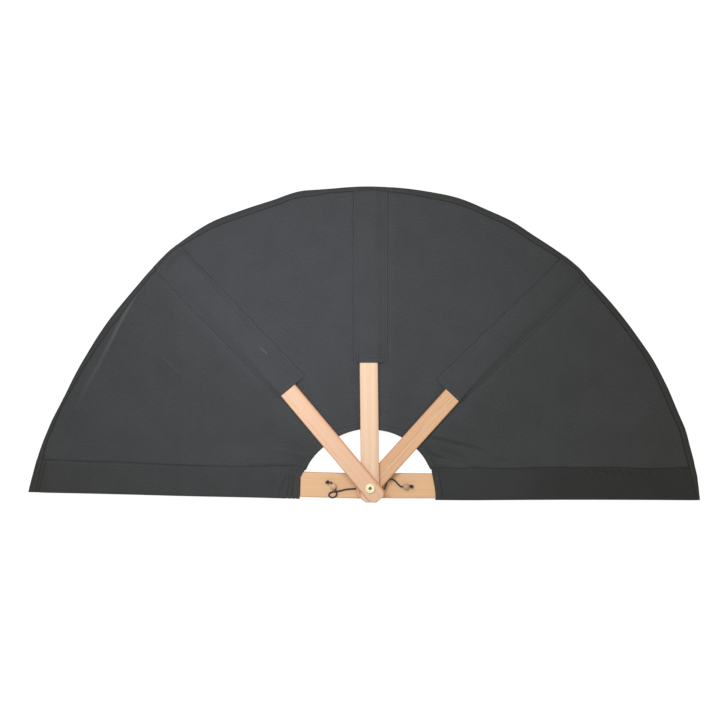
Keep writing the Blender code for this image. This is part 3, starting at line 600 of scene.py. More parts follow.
def tunnel_front(sleeve, seam_side, x, q):
    """Height of a tunnel's front, middle of the cloth, at q from the guard's line to the seam."""
    low = 2.2 * CLOTH_T + SEAM_LIFT * sleeve.lift_share(x)
    top = CLOTH_DROP + RIB_T + OVER_RIB + CLOTH_T / 2
    high = under_rib(sleeve, x, low, top, 1.2 * END_FADE)
    seam = abs(sleeve.edge[seam_side]) - STITCH_INSET - sleeve.wander(x)
    inward = seam - q
    room = seam - sleeve.half + SHOULDER
    front = least(high, risen(low, high, inward, room, TUNNEL_SLOPE), 1.0 * MM)
    over = smooth((inward - 1 * MM) / (6 * MM))
    if sleeve is left_guard:
        front = front + smooth(inward / (3 * MM)) * gathered(x, q)
        ripple, slope_ripple = 0.10 * MM, 0.0
    else:
        from_mouth = x - straight(RIGHT_TUNNEL_ENDS, q)
        front = front + 0.35 * MM * (1 - smooth((from_mouth - TUNNEL_HEM) / (0.8 * MM)))
        front = front - GROOVE * 1.3 * bump_at(from_mouth, TUNNEL_HEM - STITCH_INSET, GROOVE_HALF)
        ripple = 0.15 * MM
        slope_ripple = 0.9 * MM * bump_at(q, *SLOPE_RIPPLE_AT) * (1 - smooth((x - 0.46) / 0.04))
    wave = np.sin(2 * np.pi * (x + 0.75 * q + 0.004 * np.sin(x * 90)) / RIPPLE_LONG)
    rippled = ripple * wave + slope_ripple * (0.5 + 0.5 * wave)
    front = front + over * rippled * smooth((x - RIPPLED_FROM) / 0.10)
    place = sleeve.plan(x, seam_side * q)
    front = front + over * creases(*place)
    front = front + 0.5 * MM * smooth(1 - rim_gap(*place) / (0.8 * MM))
    return front - GROOVE * bump_at(q, seam, GROOVE_HALF)


def rim_gap(x, y):
    """How far a spot lies inside the rim's turned band."""
    turn = angle_of(x, y)
    return rim_at(turn) - curve_through(RIM_HEM_WIDTH, turn) - np.hypot(x, y)


def top_height(x, y):
    """Height of the uppermost cloth, whichever piece it is."""
    turn = angle_of(x, y)
    z = np.zeros_like(x)
    for panel in PANELS:
        inside = turn >= panel.right.rib_deg if panel is not PANELS[-1] else np.full(x.shape, True)
        if panel is not PANELS[0]:
            inside = inside & (turn < panel.left.rib_deg)
        z = np.where(inside, panel.height(x, y) + CLOTH_T, z)
    for sleeve in (left_rib, middle_rib, right_rib):
        u, v = sleeve.own(x, y)
        inside = (u > sleeve.mouth_at(v)) & (v < sleeve.edge[1]) & (v > sleeve.edge[-1])
        lifted = sleeve.base + strip_lift(sleeve, u, v) + strip_thick(sleeve, u, v)
        z = np.where(inside, np.maximum(z, lifted), z)
    for sleeve, seam_side in ((left_guard, -1), (right_guard, 1)):
        u, v = sleeve.own(x, y)
        q = v * seam_side
        inside = (u > sleeve.mouth) & (q < abs(sleeve.edge[seam_side]) + FLAP) & (q > -sleeve.half * 2)
        lifted = sleeve.base + tunnel_front(sleeve, seam_side, u, q) + CLOTH_T / 2
        z = np.where(inside, np.maximum(z, lifted), z)
    return z


# Meshes
def finish_mesh(name, verts, faces, mat, uvs=None, smooth_deg=50):
    mesh = bpy.data.meshes.new(name)
    mesh.from_pydata([tuple(v) for v in verts], [], faces)
    if uvs is not None:
        layer = mesh.uv_layers.new(name="cloth")
        corner = np.zeros(len(mesh.loops), np.int32)
        mesh.loops.foreach_get("vertex_index", corner)
        layer.data.foreach_set("uv", np.asarray(uvs, np.float32)[corner].ravel())
    bm = bmesh.new()
    bm.from_mesh(mesh)
    bmesh.ops.recalc_face_normals(bm, faces=bm.faces)
    bm.to_mesh(mesh)
    bm.free()
    mesh.shade_smooth()
    mesh.set_sharp_from_angle(angle=math.radians(smooth_deg))
    ob = bpy.data.objects.new(name, mesh)
    bpy.context.scene.collection.objects.link(ob)
    ob.data.materials.append(mat)
    return ob


def grid_normals(spots, front=None):
    """Normals of a grid of points, turned so that its front columns look up."""
    normal = np.cross(np.gradient(spots, axis=1), np.gradient(spots, axis=0))
    normal /= np.maximum(np.linalg.norm(normal, axis=2, keepdims=True), 1e-12)
    return -normal if normal[:, :front, 2].mean() < 0 else normal


def solid_between(name, inner, outer, mat, uvs):
    """A closed solid between two grids of points."""
    rows, cols, _ = inner.shape
    count = rows * cols
    index = np.arange(count).reshape(rows, cols)
    quads = np.stack([index[:-1, :-1], index[:-1, 1:], index[1:, 1:], index[1:, :-1]], 2)
    quads = quads.reshape(-1, 4)
    faces = quads.tolist() + (quads[:, ::-1] + count).tolist()
    ring = [*index[0], *index[1:, -1], *index[-1, -2::-1], *index[-2:0:-1, 0]]
    for p, q in zip(ring, ring[1:] + ring[:1]):
        faces.append((int(p), int(p) + count, int(q) + count, int(q)))
    verts = np.concatenate([inner.reshape(-1, 3), outer.reshape(-1, 3)])
    return finish_mesh(name, verts, faces, mat, np.concatenate([uvs.reshape(-1, 2)] * 2))


def thin_solid(name, spots, thick, mat, uvs):
    """A closed thin cloth between a grid of points and the same grid lifted by its thickness."""
    lifted = spots + grid_normals(spots) * np.asarray(thick, float)[..., None]
    return solid_between(name, spots, lifted, mat, uvs)


def spread(*runs):
    """One rising list of places from runs of (start, end, step)."""
    out = []
    for start, end, step in runs:
        count = max(1, round(abs(end - start) / step))
        out += list(np.linspace(start, end, count, endpoint=False))
    return np.array(out + [runs[-1][1]])


def fade(piece, panel):
    """Bakes a piece of leaf's placing into its mesh, and works out each point's share of the joint's
    turn.
    """
    verts = np.array([v.co for v in piece.data.vertices])
    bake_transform(piece)
    share = panel.weights(verts[:, 0], verts[:, 1]).astype(np.float32)


def fit(piece, body, node=None):
    """Ties a piece to a body, and hides the node that it stands for."""
    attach(piece, body)
    if node:
        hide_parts(node)


# Thread: one small arched stitch after another
STITCH_LONG = 0.0016
STITCH_PITCH = 0.0032
STITCH_HOOPS = (0, 0.14, 0.38, 0.62, 0.86, 1)
THREAD_R = 0.00026
THREAD_SIDES = 6
# Radius of a black line of painted shade laid down a crease
SHADE_LINE_R = 0.00017


def travel_along(line):
    """Length of a polyline from its start to each of its points."""
    return np.concatenate([[0], np.cumsum(np.linalg.norm(np.diff(line, axis=0), axis=1))])


def hoop(centre, aside, up, radius, sides=THREAD_SIDES):
    """Points round a thread, which may stand out by its radii."""
    turns = 2 * np.pi * np.arange(sides)[:, None] / sides
    return list(centre + (aside * np.cos(turns) + up * np.sin(turns)) * radius)


def hoop_faces(first, count, sides=THREAD_SIDES, closed=False):
    """Faces between hoops of points, and over both ends of an open run."""
    faces = []
    for i in range(count if closed else count - 1):
        p, q = first + i * sides, first + (i + 1) % count * sides
        for k in range(sides):
            j = (k + 1) % sides
            faces.append((p + k, p + j, q + j, q + k))
    if not closed:
        last = first + (count - 1) * sides
        faces += [tuple(range(first, first + sides)), tuple(range(last, last + sides))]
    return faces


def thread(name, lines, mat):
    verts, faces = [], []
    for line in lines:
        travel = travel_along(line)
        places = np.arange(STITCH_PITCH / 2, travel[-1] - STITCH_PITCH / 2, STITCH_PITCH)
        starts, ends = (
            grid(*(np.interp(places + half, travel, line[:, k]) for k in range(3)))
            for half in (-STITCH_LONG / 2, STITCH_LONG / 2)
        )
        for a, run in zip(starts, ends - starts):
            aside = np.cross((0, 0, 1), run)
            aside /= max(np.linalg.norm(aside), 1e-9)
            up = np.cross(run, aside)
            up /= max(np.linalg.norm(up), 1e-9)
            faces += hoop_faces(len(verts), len(STITCH_HOOPS))
            for t in STITCH_HOOPS:
                arch = 4 * t * (1 - t)
                middle = a + run * t + up * THREAD_R * (1.5 * arch - 0.75)
                verts += hoop(middle, aside, up, THREAD_R * (0.35 + 0.65 * min(1, arch * 1.9)))
    return finish_mesh(name, verts, faces, mat)


def shade_line(name, lines, mat, radii=SHADE_LINE_R):
    """A black line of painted shade drawn down into a crease, for the whole of its length."""
    verts, faces = [], []
    for line, radius in zip(lines, np.broadcast_to(radii, len(lines))):
        aside = np.cross((0, 0, 1), np.gradient(line, axis=0))
        aside /= np.linalg.norm(aside, axis=1, keepdims=True)
        faces += hoop_faces(len(verts), len(line))
        for spot, way in zip(line, aside):
            verts += hoop(spot, way, np.array((0, 0, 1.0)), radius)
    return finish_mesh(name, verts, faces, mat)


# Materials
def wire(tree, socket, value):
    """Links a socket to another, or sets its value."""
    if isinstance(value, bpy.types.NodeSocket):
        tree.links.new(value, socket)
    else:
        socket.default_value = value


def add_node(tree, kind, inputs=(), out=0, **settings):
    """A new wired node; gives one of its outputs."""
    node = tree.nodes.new("ShaderNode" + kind)
    for key, value in settings.items():
        setattr(node, key, value)
    for key, value in dict(inputs).items():
        wire(tree, node.inputs[key], value)
    return node.outputs[out] if node.outputs else None


def colour(r, g, b):
    return (r, g, b, 1.0)


def dim(tone, *by):
    """A tone times one number, or times three."""
    return tuple(float(v) for v in np.multiply(tone, by))


class Surface:
    """A Principled material: short ways to wire its nodes, and to lay tones over its shade."""

    def __init__(self, name, tone, roughness, **values):
        self.mat = bpy.data.materials.new(name)
        self.mat.use_nodes = True
        self.tree = self.mat.node_tree
        self.shade = colour(*tone)
        self.put("Base Color", self.shade)
        self.put("Roughness", roughness)
        for key, value in values.items():
            self.put(key.replace("_", " "), value)

    def put(self, socket, value):
        wire(self.tree, self.tree.nodes["Principled BSDF"].inputs[socket], value)

    def add(self, kind, inputs=(), out=0, **settings):
        return add_node(self.tree, kind, inputs, out, **settings)

    def math(self, operation, a, b=0.0):
        return self.add("Math", {0: a, 1: b}, operation=operation)

    def times(self, a, b):
        return self.math("MULTIPLY", a, b)

    def apart(self, a, b):
        """How far a lies from b."""
        return self.math("ABSOLUTE", self.math("SUBTRACT", a, b))

    def axis(self, where, k):
        return self.add("SeparateXYZ", {0: where}, k)

    def noise(self, where, scale, detail=3.0, roughness=0.55):
        spot = self.add("Mapping", {0: where, 3: scale})
        inputs = {"Vector": spot, "Scale": 1.0, "Detail": detail, "Roughness": roughness}
        return self.add("TexNoise", inputs)

    def band(self, value, low, high):
        """0 on low's side, 1 beyond high."""
        return self.add("MapRange", {0: value, 1: low, 2: high}, interpolation_type="SMOOTHSTEP")

    def tint(self, share, amount, tone):
        """Lays a tone over the shade, by a share times an amount."""
        inputs = {0: self.times(share, amount), 6: self.shade, 7: colour(*tone)}
        self.shade = self.add("Mix", inputs, 2, data_type="RGBA")

    def rough(self, value, low, high):
        self.put("Roughness", self.add("MapRange", {0: value, 3: low, 4: high}))

    def done(self, height, distance, strength=1.0):
        """Puts on the shade and a bump."""
        inputs = {"Height": height, "Distance": distance, "Strength": strength}
        self.put("Normal", self.add("Bump", inputs))
        self.put("Base Color", self.shade)
        return self.mat


def wood(name, pale, deep, rib_deg, seed, fleck_share=0.2, edge_shade=(), lines=()):
    """Sanded beech: growth banding, fibres and short ray flecks along a rib. The edge tints are soft,
    darker and redder, painted shade along the rounded edges; lines are thin, brown and broken; both are
    (across, half width, strength)."""
    s = Surface(name, pale, 0.5)
    where = s.add("TexCoord", out=3)
    along = s.add("VectorRotate", {"Vector": where, "Angle": -math.radians(rib_deg)},
                  rotation_type="Z_AXIS")
    across = s.axis(along, 1)
    along = s.add("VectorMath", {0: along, 1: (seed * 1.7, seed * 0.9, seed * 0.31)}, operation="ADD")
    growth = s.noise(along, (3.0, 210, 110), 2.0, 0.5)
    fibres = s.noise(along, (14, 1100, 900), 3)
    flecks = s.band(s.noise(along, (170, 2100, 1500), 1.0), 0.64, 0.70)
    brown = dim(deep, 0.66, 0.54, 0.46)
    s.tint(s.band(growth, 0.34, 0.72), 0.42, deep)
    s.tint(s.band(fibres, 0.45, 0.70), 0.22, deep)
    s.tint(flecks, fleck_share, brown)
    wander = s.times(s.math("SUBTRACT", s.noise(along, (7, 0, 0), 2), 0.5), 0.004)
    place = s.math("ADD", across, wander)
    broken = s.band(s.noise(along, (45, 300, 1), 2), 0.38, 0.60)
    # Painted shade: darker, redder tones along the rounded edges
    for offset, width, strength in edge_shade:
        near = s.band(s.apart(across, offset), width, width * 0.2)
        s.tint(near, strength, dim(deep, 0.97, 0.80, 0.64))
    for offset, width, strength in lines:
        near = s.band(s.apart(place, offset), width, width * 0.3)
        s.tint(s.times(near, broken), strength, brown)
    s.rough(fibres, 0.46, 0.62)
    return s.done(s.math("ADD", fibres, s.times(flecks, -0.6)), 0.00005)


YARN = 0.00045
WEFT_SHARE = 0.62
CLOTH_TONE = (0.0535, 0.0574, 0.0616)
# Leaf: painted highlight along the far-left ridge and a small crease; painted shade above the left
# tunnel's seam, in the wrinkles by the right tunnel's mouth, and broadly over the lower left
LEAF_MARKS = (
    # x0, y0, x1, y1, half width, bow to the left, strength
    (-0.3515, 0.3495, -0.4900, 0.1110, 0.0040, -0.0046, 0.26),
    (-0.3515, 0.3495, -0.4450, 0.1960, 0.0026, -0.0018, 0.42),
    (-0.3390, 0.2130, -0.3040, 0.1780, 0.0018, 0.0, 0.16),
    (-0.2050, 0.0352, -0.1180, 0.0360, 0.0028, 0.0, -0.30),
    (0.0900, 0.0820, 0.2060, 0.0510, 0.0050, 0.0024, -0.50),
    (0.0930, 0.0570, 0.1240, 0.0440, 0.0034, -0.0010, -0.40),
    (0.1130, 0.0620, 0.1640, 0.0440, 0.0052, 0.0, -0.28),
    (0.1980, 0.0460, 0.2300, 0.0390, 0.0038, 0.0, -0.28),
    (-0.4700, 0.0560, -0.2200, 0.0560, 0.0450, 0.0, -0.14),
)
# Left pocket: a short painted highlight along the inner edge of its lower hem, and painted shade down
# the slope beside its rib
LEFT_POCKET_MARKS = (
    (0.2690, -0.0300, 0.2860, -0.0290, 0.0011, 0.0, 0.75),
    (0.1980, 0.0030, 0.4900, -0.0015, 0.0064, 0.0, -0.11),
    (0.2000, 0.0030, 0.3400, 0.0015, 0.0040, 0.0, -0.13),
)
# Right pocket: painted shade down the slope beside its rib
RIGHT_POCKET_MARKS = (
    (0.1900, -0.0010, 0.5600, 0.0040, 0.0070, 0.0, -0.20),
    (0.3200, 0.0035, 0.5600, 0.0060, 0.0075, 0.0, -0.08),
)
# Left casing: painted shade in the puckers' valleys by the mouth, and across its end at the rim
LEFT_CASING_MARKS = (
    (0.1365, 0.0140, 0.1500, 0.0470, 0.0032, 0.0010, -0.34),
    (0.1520, 0.0120, 0.1640, 0.0340, 0.0032, 0.0, -0.20),
    (0.1232, 0.0120, 0.1236, 0.0600, 0.0022, 0.0, -0.24),
    (0.5260, -0.0030, 0.5430, 0.0750, 0.0028, 0.0, -0.66),
)
# Right casing: painted light, broad by the mouth and narrow across it by the mouth's hem, and painted
# shade in diagonal stripes over its ripples
RIGHT_CASING_RIPPLES = (0.350, 0.365, 0.381, 0.393, 0.406, 0.421, 0.437, 0.452)
RIGHT_CASING_MARKS = (
    (0.0900, 0.0250, 0.3000, 0.0250, 0.0500, 0.0, 0.20),
    (0.1110, -0.0400, 0.1090, 0.1000, 0.0056, 0.0, 0.14),
) + tuple((x, 0.0030, x + 0.0080, 0.0145, 0.0024, 0.0, -0.60) for x in RIGHT_CASING_RIPPLES)


def woven(name, share=(1, 1, 1), marks=()):
    """Plain-woven matt polyester: yarns over and under each other, with a heathered mottle.
    Marks lay painted highlight along a line as a pale streak; with a strength below zero they lay
    painted shade in creases, valleys, on slopes and over the lower parts."""
    warp = dim(CLOTH_TONE, *share)
    weft = dim(warp, WEFT_SHARE)
    s = Surface(name, warp, 0.86, Sheen_Weight=0.10, Sheen_Roughness=0.5)
    where = s.add("UVMap", uv_map="cloth")
    turn = math.pi / YARN
    over = s.times(*(s.math("SINE", s.times(s.axis(where, k), turn)) for k in (0, 1)))
    blotch = s.noise(where, (26, 22, 1), 3)
    mottle = s.noise(where, (420, 300, 1), 3, 0.7)
    slubs = s.noise(where, (1500, 170, 1), 2)
    s.tint(s.band(mottle, 0.30, 0.70), 0.75, weft)
    s.tint(s.band(slubs, 0.50, 0.80), 0.30, dim(warp, 1.5))
    s.tint(s.band(blotch, 0.35, 0.70), 0.22, dim(weft, 0.80, 0.84, 0.88))
    s.tint(s.band(over, -0.2, -0.9), 0.35, dim(weft, 0.5))
    for x0, y0, x1, y1, half, bow, strength in marks:
        long = math.hypot(x1 - x0, y1 - y0)
        dx, dy = (x1 - x0) / long, (y1 - y0) / long
        spot = s.add("VectorMath", {0: where, 1: (x0, y0, 0)}, operation="SUBTRACT")
        along, aside = (
            s.add("VectorMath", {0: spot, 1: way}, 1, operation="DOT_PRODUCT")
            for way in ((dx / long, dy / long, 0), (-dy, dx, 0))
        )
        bent = s.times(s.times(along, s.math("SUBTRACT", 1.0, along)), 4 * bow)
        ends = s.times(s.band(along, 0.0, 0.10), s.band(along, 1.0, 0.66))
        near = s.times(ends, s.band(s.apart(aside, bent), half, 0.3 * half))
        # Painted highlight at 1.9 times the warp's tone; painted shade at 0.42 times it
        s.tint(near, abs(strength), dim(warp, 1.9 if strength > 0 else 0.42))
    return s.done(s.math("ADD", s.times(over, 0.5), s.times(mottle, 0.5)), 0.00012, 0.7)


def twine(name, dark, light, turns):
    """Braided or twisted thread, its strands crossing by the mesh's own coordinates."""
    s = Surface(name, dark, 0.72, Sheen_Weight=0.2, Sheen_Roughness=0.45)
    where = s.add("TexCoord", out=3)
    fuzz = s.noise(where, (2600, 2600, 2600), 2)
    s.tint(s.band(fuzz, 0.35, 0.72), 1.0, light)
    s.tint(s.noise(where, (420, 420, 420), 2), turns, dim(dark, 0.6))
    return s.done(fuzz, 0.00008, 0.8)


def brass():
    """Pale turned brass, with fine rings round the pivot axis and painted shade down in its socket."""
    s = Surface("satin_brass", (0.98, 0.93, 0.64), 0.3, Metallic=0.25)
    where = s.add("TexCoord", out=3)
    x, y, z = (s.axis(where, k) for k in range(3))
    radius = s.math("SQRT", s.math("ADD", s.times(x, x), s.times(y, y)))
    rings = s.math("SINE", s.times(radius, 21000))
    dull = s.noise(where, (500, 500, 500), 3)
    s.tint(s.band(dull, 0.5, 0.75), 0.3, (0.80, 0.72, 0.40))
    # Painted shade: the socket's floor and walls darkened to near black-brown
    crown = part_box("socket_screw")[1].z
    socket_shade = s.times(s.band(z, crown - 0.4 * MM, crown - 0.9 * MM), s.band(radius, 3.1 * MM, 2.7 * MM))
    s.tint(socket_shade, 0.92, (0.12, 0.09, 0.03))
    s.rough(dull, 0.24, 0.42)
    return s.done(s.math("ADD", rings, dull), 0.00002, 0.6)


def nylon():
    s = Surface("black_nylon", (0.03, 0.03, 0.032), 0.5)
    grain = s.noise(s.add("TexCoord", out=3), (1800, 1800, 1800), 3)
    s.shade = colour(0.022, 0.022, 0.024)
    s.tint(grain, 1.0, (0.042, 0.042, 0.045))
    s.rough(grain, 0.42, 0.62)
    return s.done(grain, 0.00005, 0.5)


# Pieces
PANEL_STEP = 0.0026
LEAF_WIDE_R = 0.45
LEAF_DEEP = 0.395
RIM_STEP = 0.0005
RIM_FINE = 0.008
RIM_HELD = 0.0012
RIM_PROFILE = (0, 0.02, 0.06, 0.14, 0.28, 0.42, 0.55, 0.66, 0.75, 0.83, 0.90, 0.96, 1.0)
HEM_PROFILE = (-0.03, 0.02, 0.08, 0.2, 0.4, 0.6, 0.70, 0.76, 0.82, 0.88, 0.94, 0.98, 1.0)
RIM_SHORT = 0.0013


def leaf_panel(panel, mat):
    """The leaf between two ribs, its outer edge tucked into a trough under the rim's band."""
    wide = math.radians(panel.left.rib_deg - panel.right.rib_deg) * LEAF_WIDE_R
    fine = 1 - RIM_FINE / LEAF_DEEP
    across = spread((0, 1, PANEL_STEP / wide))
    outward = spread((0, fine, PANEL_STEP / LEAF_DEEP), (fine, 1, RIM_STEP / LEAF_DEEP))
    s, t = np.meshgrid(across, outward)
    x, y = panel.spots(s, t)
    edge = (1 - t) * LEAF_DEEP - RIM_TUCK
    z = panel.height(x, y) - RIM_TROUGH * bump_at(edge, 0.2 * MM, 0.9 * MM)
    ob = thin_solid("cloth_" + panel.name, grid(x, y, z), CLOTH_T, mat, grid(x, y))
    fade(ob, panel)
    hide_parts("leaf_" + panel.name)
    return ob


def hem_ends(panel, t):
    """Angles between which a hem runs: rib to rib, and at a guard out to the tunnel's fold."""
    ends = []
    for sleeve, side in ((panel.left, -1), (panel.right, 1)):
        if sleeve.hem_strip:
            ends.append(sleeve.rib_deg)
            continue
        r = float(rim_at(sleeve.rib_deg)) if t == 1 else float(hem_at(sleeve.rib_deg))
        fold = sleeve.fold_at(r)
        y = -side * (fold - 0.6 * MM) if t == 1 else sleeve.edge[side] - side * PANEL_LAP
        ends.append(sleeve.rib_deg + math.degrees(math.asin(y / r)))
    return ends


def rim_lip(turn):
    """The rolled band's height: it lies flatter on the right tunnel, which shuts under the left one."""
    return RIM_LIP * (0.55 + 0.45 * smooth((turn - 2.6) / 2.0))


def rim_hem(panel, mat):
    """The leaf's rim, turned over to the front and stitched: a flat rolled band."""
    turn = np.linspace(*hem_ends(panel, 1), 220)
    width = curve_through(RIM_HEM_WIDTH, turn)
    share, turns = np.meshgrid(RIM_PROFILE, turn)
    rim, widths = rim_at(turns), curve_through(RIM_HEM_WIDTH, turns)
    inward = share * widths
    x, y = polar(rim - inward, turns)
    z = top_height(*polar(rim - np.maximum(inward, RIM_HELD), turns))
    back = z - CLOTH_T * smooth((widths - RIM_TUCK - inward) / (1.5 * MM))
    roll = np.clip(np.minimum(widths - inward, inward) / (0.8 * MM), 0.0, 1)
    thick = z + rim_lip(turns) * (0.45 + 0.55 * np.sqrt(roll)) - back
    stitch = widths - np.minimum(STITCH_INSET, 0.35 * widths)
    thick = thick - GROOVE * 1.2 * bump_at(inward, stitch, GROOVE_HALF)
    ob = thin_solid("rim_hem_" + panel.name, grid(x, y, back), thick, mat, grid(x, y))
    fade(ob, panel)
    # A line of stitches, then black lines of painted shade at the band's inner edge and at the rim's
    # outer edge
    lines = []
    for inside, above in (
        (width - np.minimum(1.6 * STITCH_INSET, 0.4 * width), rim_lip(turn) - 0.30 * MM),
        (width + 0.25 * MM, 0.05 * MM), (0.25 * MM, 0.5 * rim_lip(turn)),
    ):
        r = rim_at(turn) - inside
        held = np.minimum(r, rim_at(turn) - RIM_HELD)
        lines.append(grid(*polar(r, turn), top_height(*polar(held, turn)) + above))
    return ob, lines


def inner_hem(panel, mat):
    """The leaf's inner arc, turned over and stitched; it passes under the ribs."""
    turn = np.linspace(*hem_ends(panel, 0), 90)
    share, turns = np.meshgrid(HEM_PROFILE, turn)
    outward = share * INNER_HEM_WIDTH
    x, y = polar(hem_at(turns) + outward, turns)
    lip = np.clip(1 - outward / (1.2 * MM), 0, 1) ** 2
    z = panel.height(x, y) + CLOTH_T - 0.03 * MM - lip * 0.4 * MM
    stitch = INNER_HEM_WIDTH - STITCH_INSET
    thick = 0.45 * MM * np.sqrt(np.clip((INNER_HEM_WIDTH - outward) / (0.5 * MM), 0.25, 1))
    thick = thick - 0.6 * GROOVE * bump_at(outward, stitch, GROOVE_HALF)
    ob = thin_solid("inner_hem_" + panel.name, grid(x, y, z), thick, mat, grid(x, y))
    fade(ob, panel)
    # A line of stitches, then a black line of painted shade along the hem's edge on the leaf
    lines = []
    for inside, above in ((stitch, 0.30 * MM), (INNER_HEM_WIDTH + 0.2 * MM, 0.02 * MM)):
        x, y = polar(hem_at(turn) + inside, turn)
        lines.append(grid(x, y, panel.height(x, y) + CLOTH_T + above))
    return ob, lines


def pocket_wave(name, sleeve, x, y):
    """Slight waviness of a pocket's sewn edge."""
    edge = sleeve.edge[-1 if name == "left" else 1]
    wave = EDGE_WAVE * np.sin(x * 2 * np.pi / EDGE_WAVE_LONG + 1.1) * bump_at(y, edge, 0.006)
    return wave * smooth((x - sleeve.mouth) / 0.05)


def columns_to(mouth, tip, step, count):
    """Places along a sleeve for each line across it: fine steps by the mouth, then on to the rim."""
    start = mouth + step[-1]
    rest = np.linspace(0, 1, count)[1:, None]
    return np.concatenate([mouth + step[:, None], start + (tip - start) * rest])


def pocket(name, sleeve, body, mat, thread_mat, shade_mat):
    """A strip of cloth sewn on over a rib, its edges and mouth turned in."""
    low, high = sleeve.edge[-1], sleeve.edge[1]
    inset, edge_run, mouth_run = STRIP_HEM + 1.2 * MM, 1.2 * MM, MOUTH_HEM + 1.5 * MM
    y = spread((low, low + edge_run, 0.3 * MM), (low + edge_run, low + inset, 0.45 * MM),
               (low + inset, high - inset, 1.1 * MM), (high - inset, high - edge_run, 0.45 * MM),
               (high - edge_run, high, 0.3 * MM))
    step = spread((0, edge_run, 0.3 * MM), (edge_run, mouth_run, 0.45 * MM))
    x = columns_to(sleeve.mouth_at(y), sleeve.rim_x(y, inset=RIM_SHORT), step, 130)
    y = np.broadcast_to(y, x.shape)
    wx, wy = sleeve.plan(x, y + pocket_wave(name, sleeve, x, y))
    spots = grid(wx, wy, sleeve.base + strip_lift(sleeve, x, y))
    ob = thin_solid("pocket_cloth_" + name, spots, strip_thick(sleeve, x, y), mat, grid(x, y))
    fit(ob, body, "pocket_" + name)

    def on_strip(x, y):
        top = strip_lift(sleeve, x, y) + strip_thick(sleeve, x, y)
        return grid(*sleeve.plan(x, y), sleeve.base + top + 0.04 * MM)

    def along(y, after, before, count):
        mouth, rim = float(sleeve.mouth_at(y)), float(sleeve.rim_x(np.array(y)))
        return np.linspace(mouth + after, rim - before, count)

    lines, edges = [], []
    for side in (1, -1):
        y = sleeve.edge[side] - side * STITCH_INSET
        x = along(y, 2 * MM, 5 * MM, 200)
        lines.append(on_strip(x, np.full_like(x, y)))
        # A black line of painted shade just outside each sewn edge, where the strip meets the leaf
        y = sleeve.edge[side] + side * 0.25 * MM
        x = along(y, 0.0, 6 * MM, 160)
        wx, wy = sleeve.plan(x, y + pocket_wave(name, sleeve, x, sleeve.edge[side]))
        z = sleeve.base + CLOTH_T + SEAM_LIFT * sleeve.lift_share(x) + 0.12 * MM
        edges.append(grid(wx, wy, z))
    y = np.linspace(low + 2.4 * MM, high - 2.4 * MM, 120)
    lines.append(on_strip(sleeve.mouth_at(y) + MOUTH_HEM - STITCH_INSET, y))
    seams = [
        thread("pocket_thread_" + name, lines, thread_mat),
        shade_line("pocket_painted_shade_" + name, edges, shade_mat),
    ]
    for piece in seams:
        fit(piece, body)
    return ob, seams


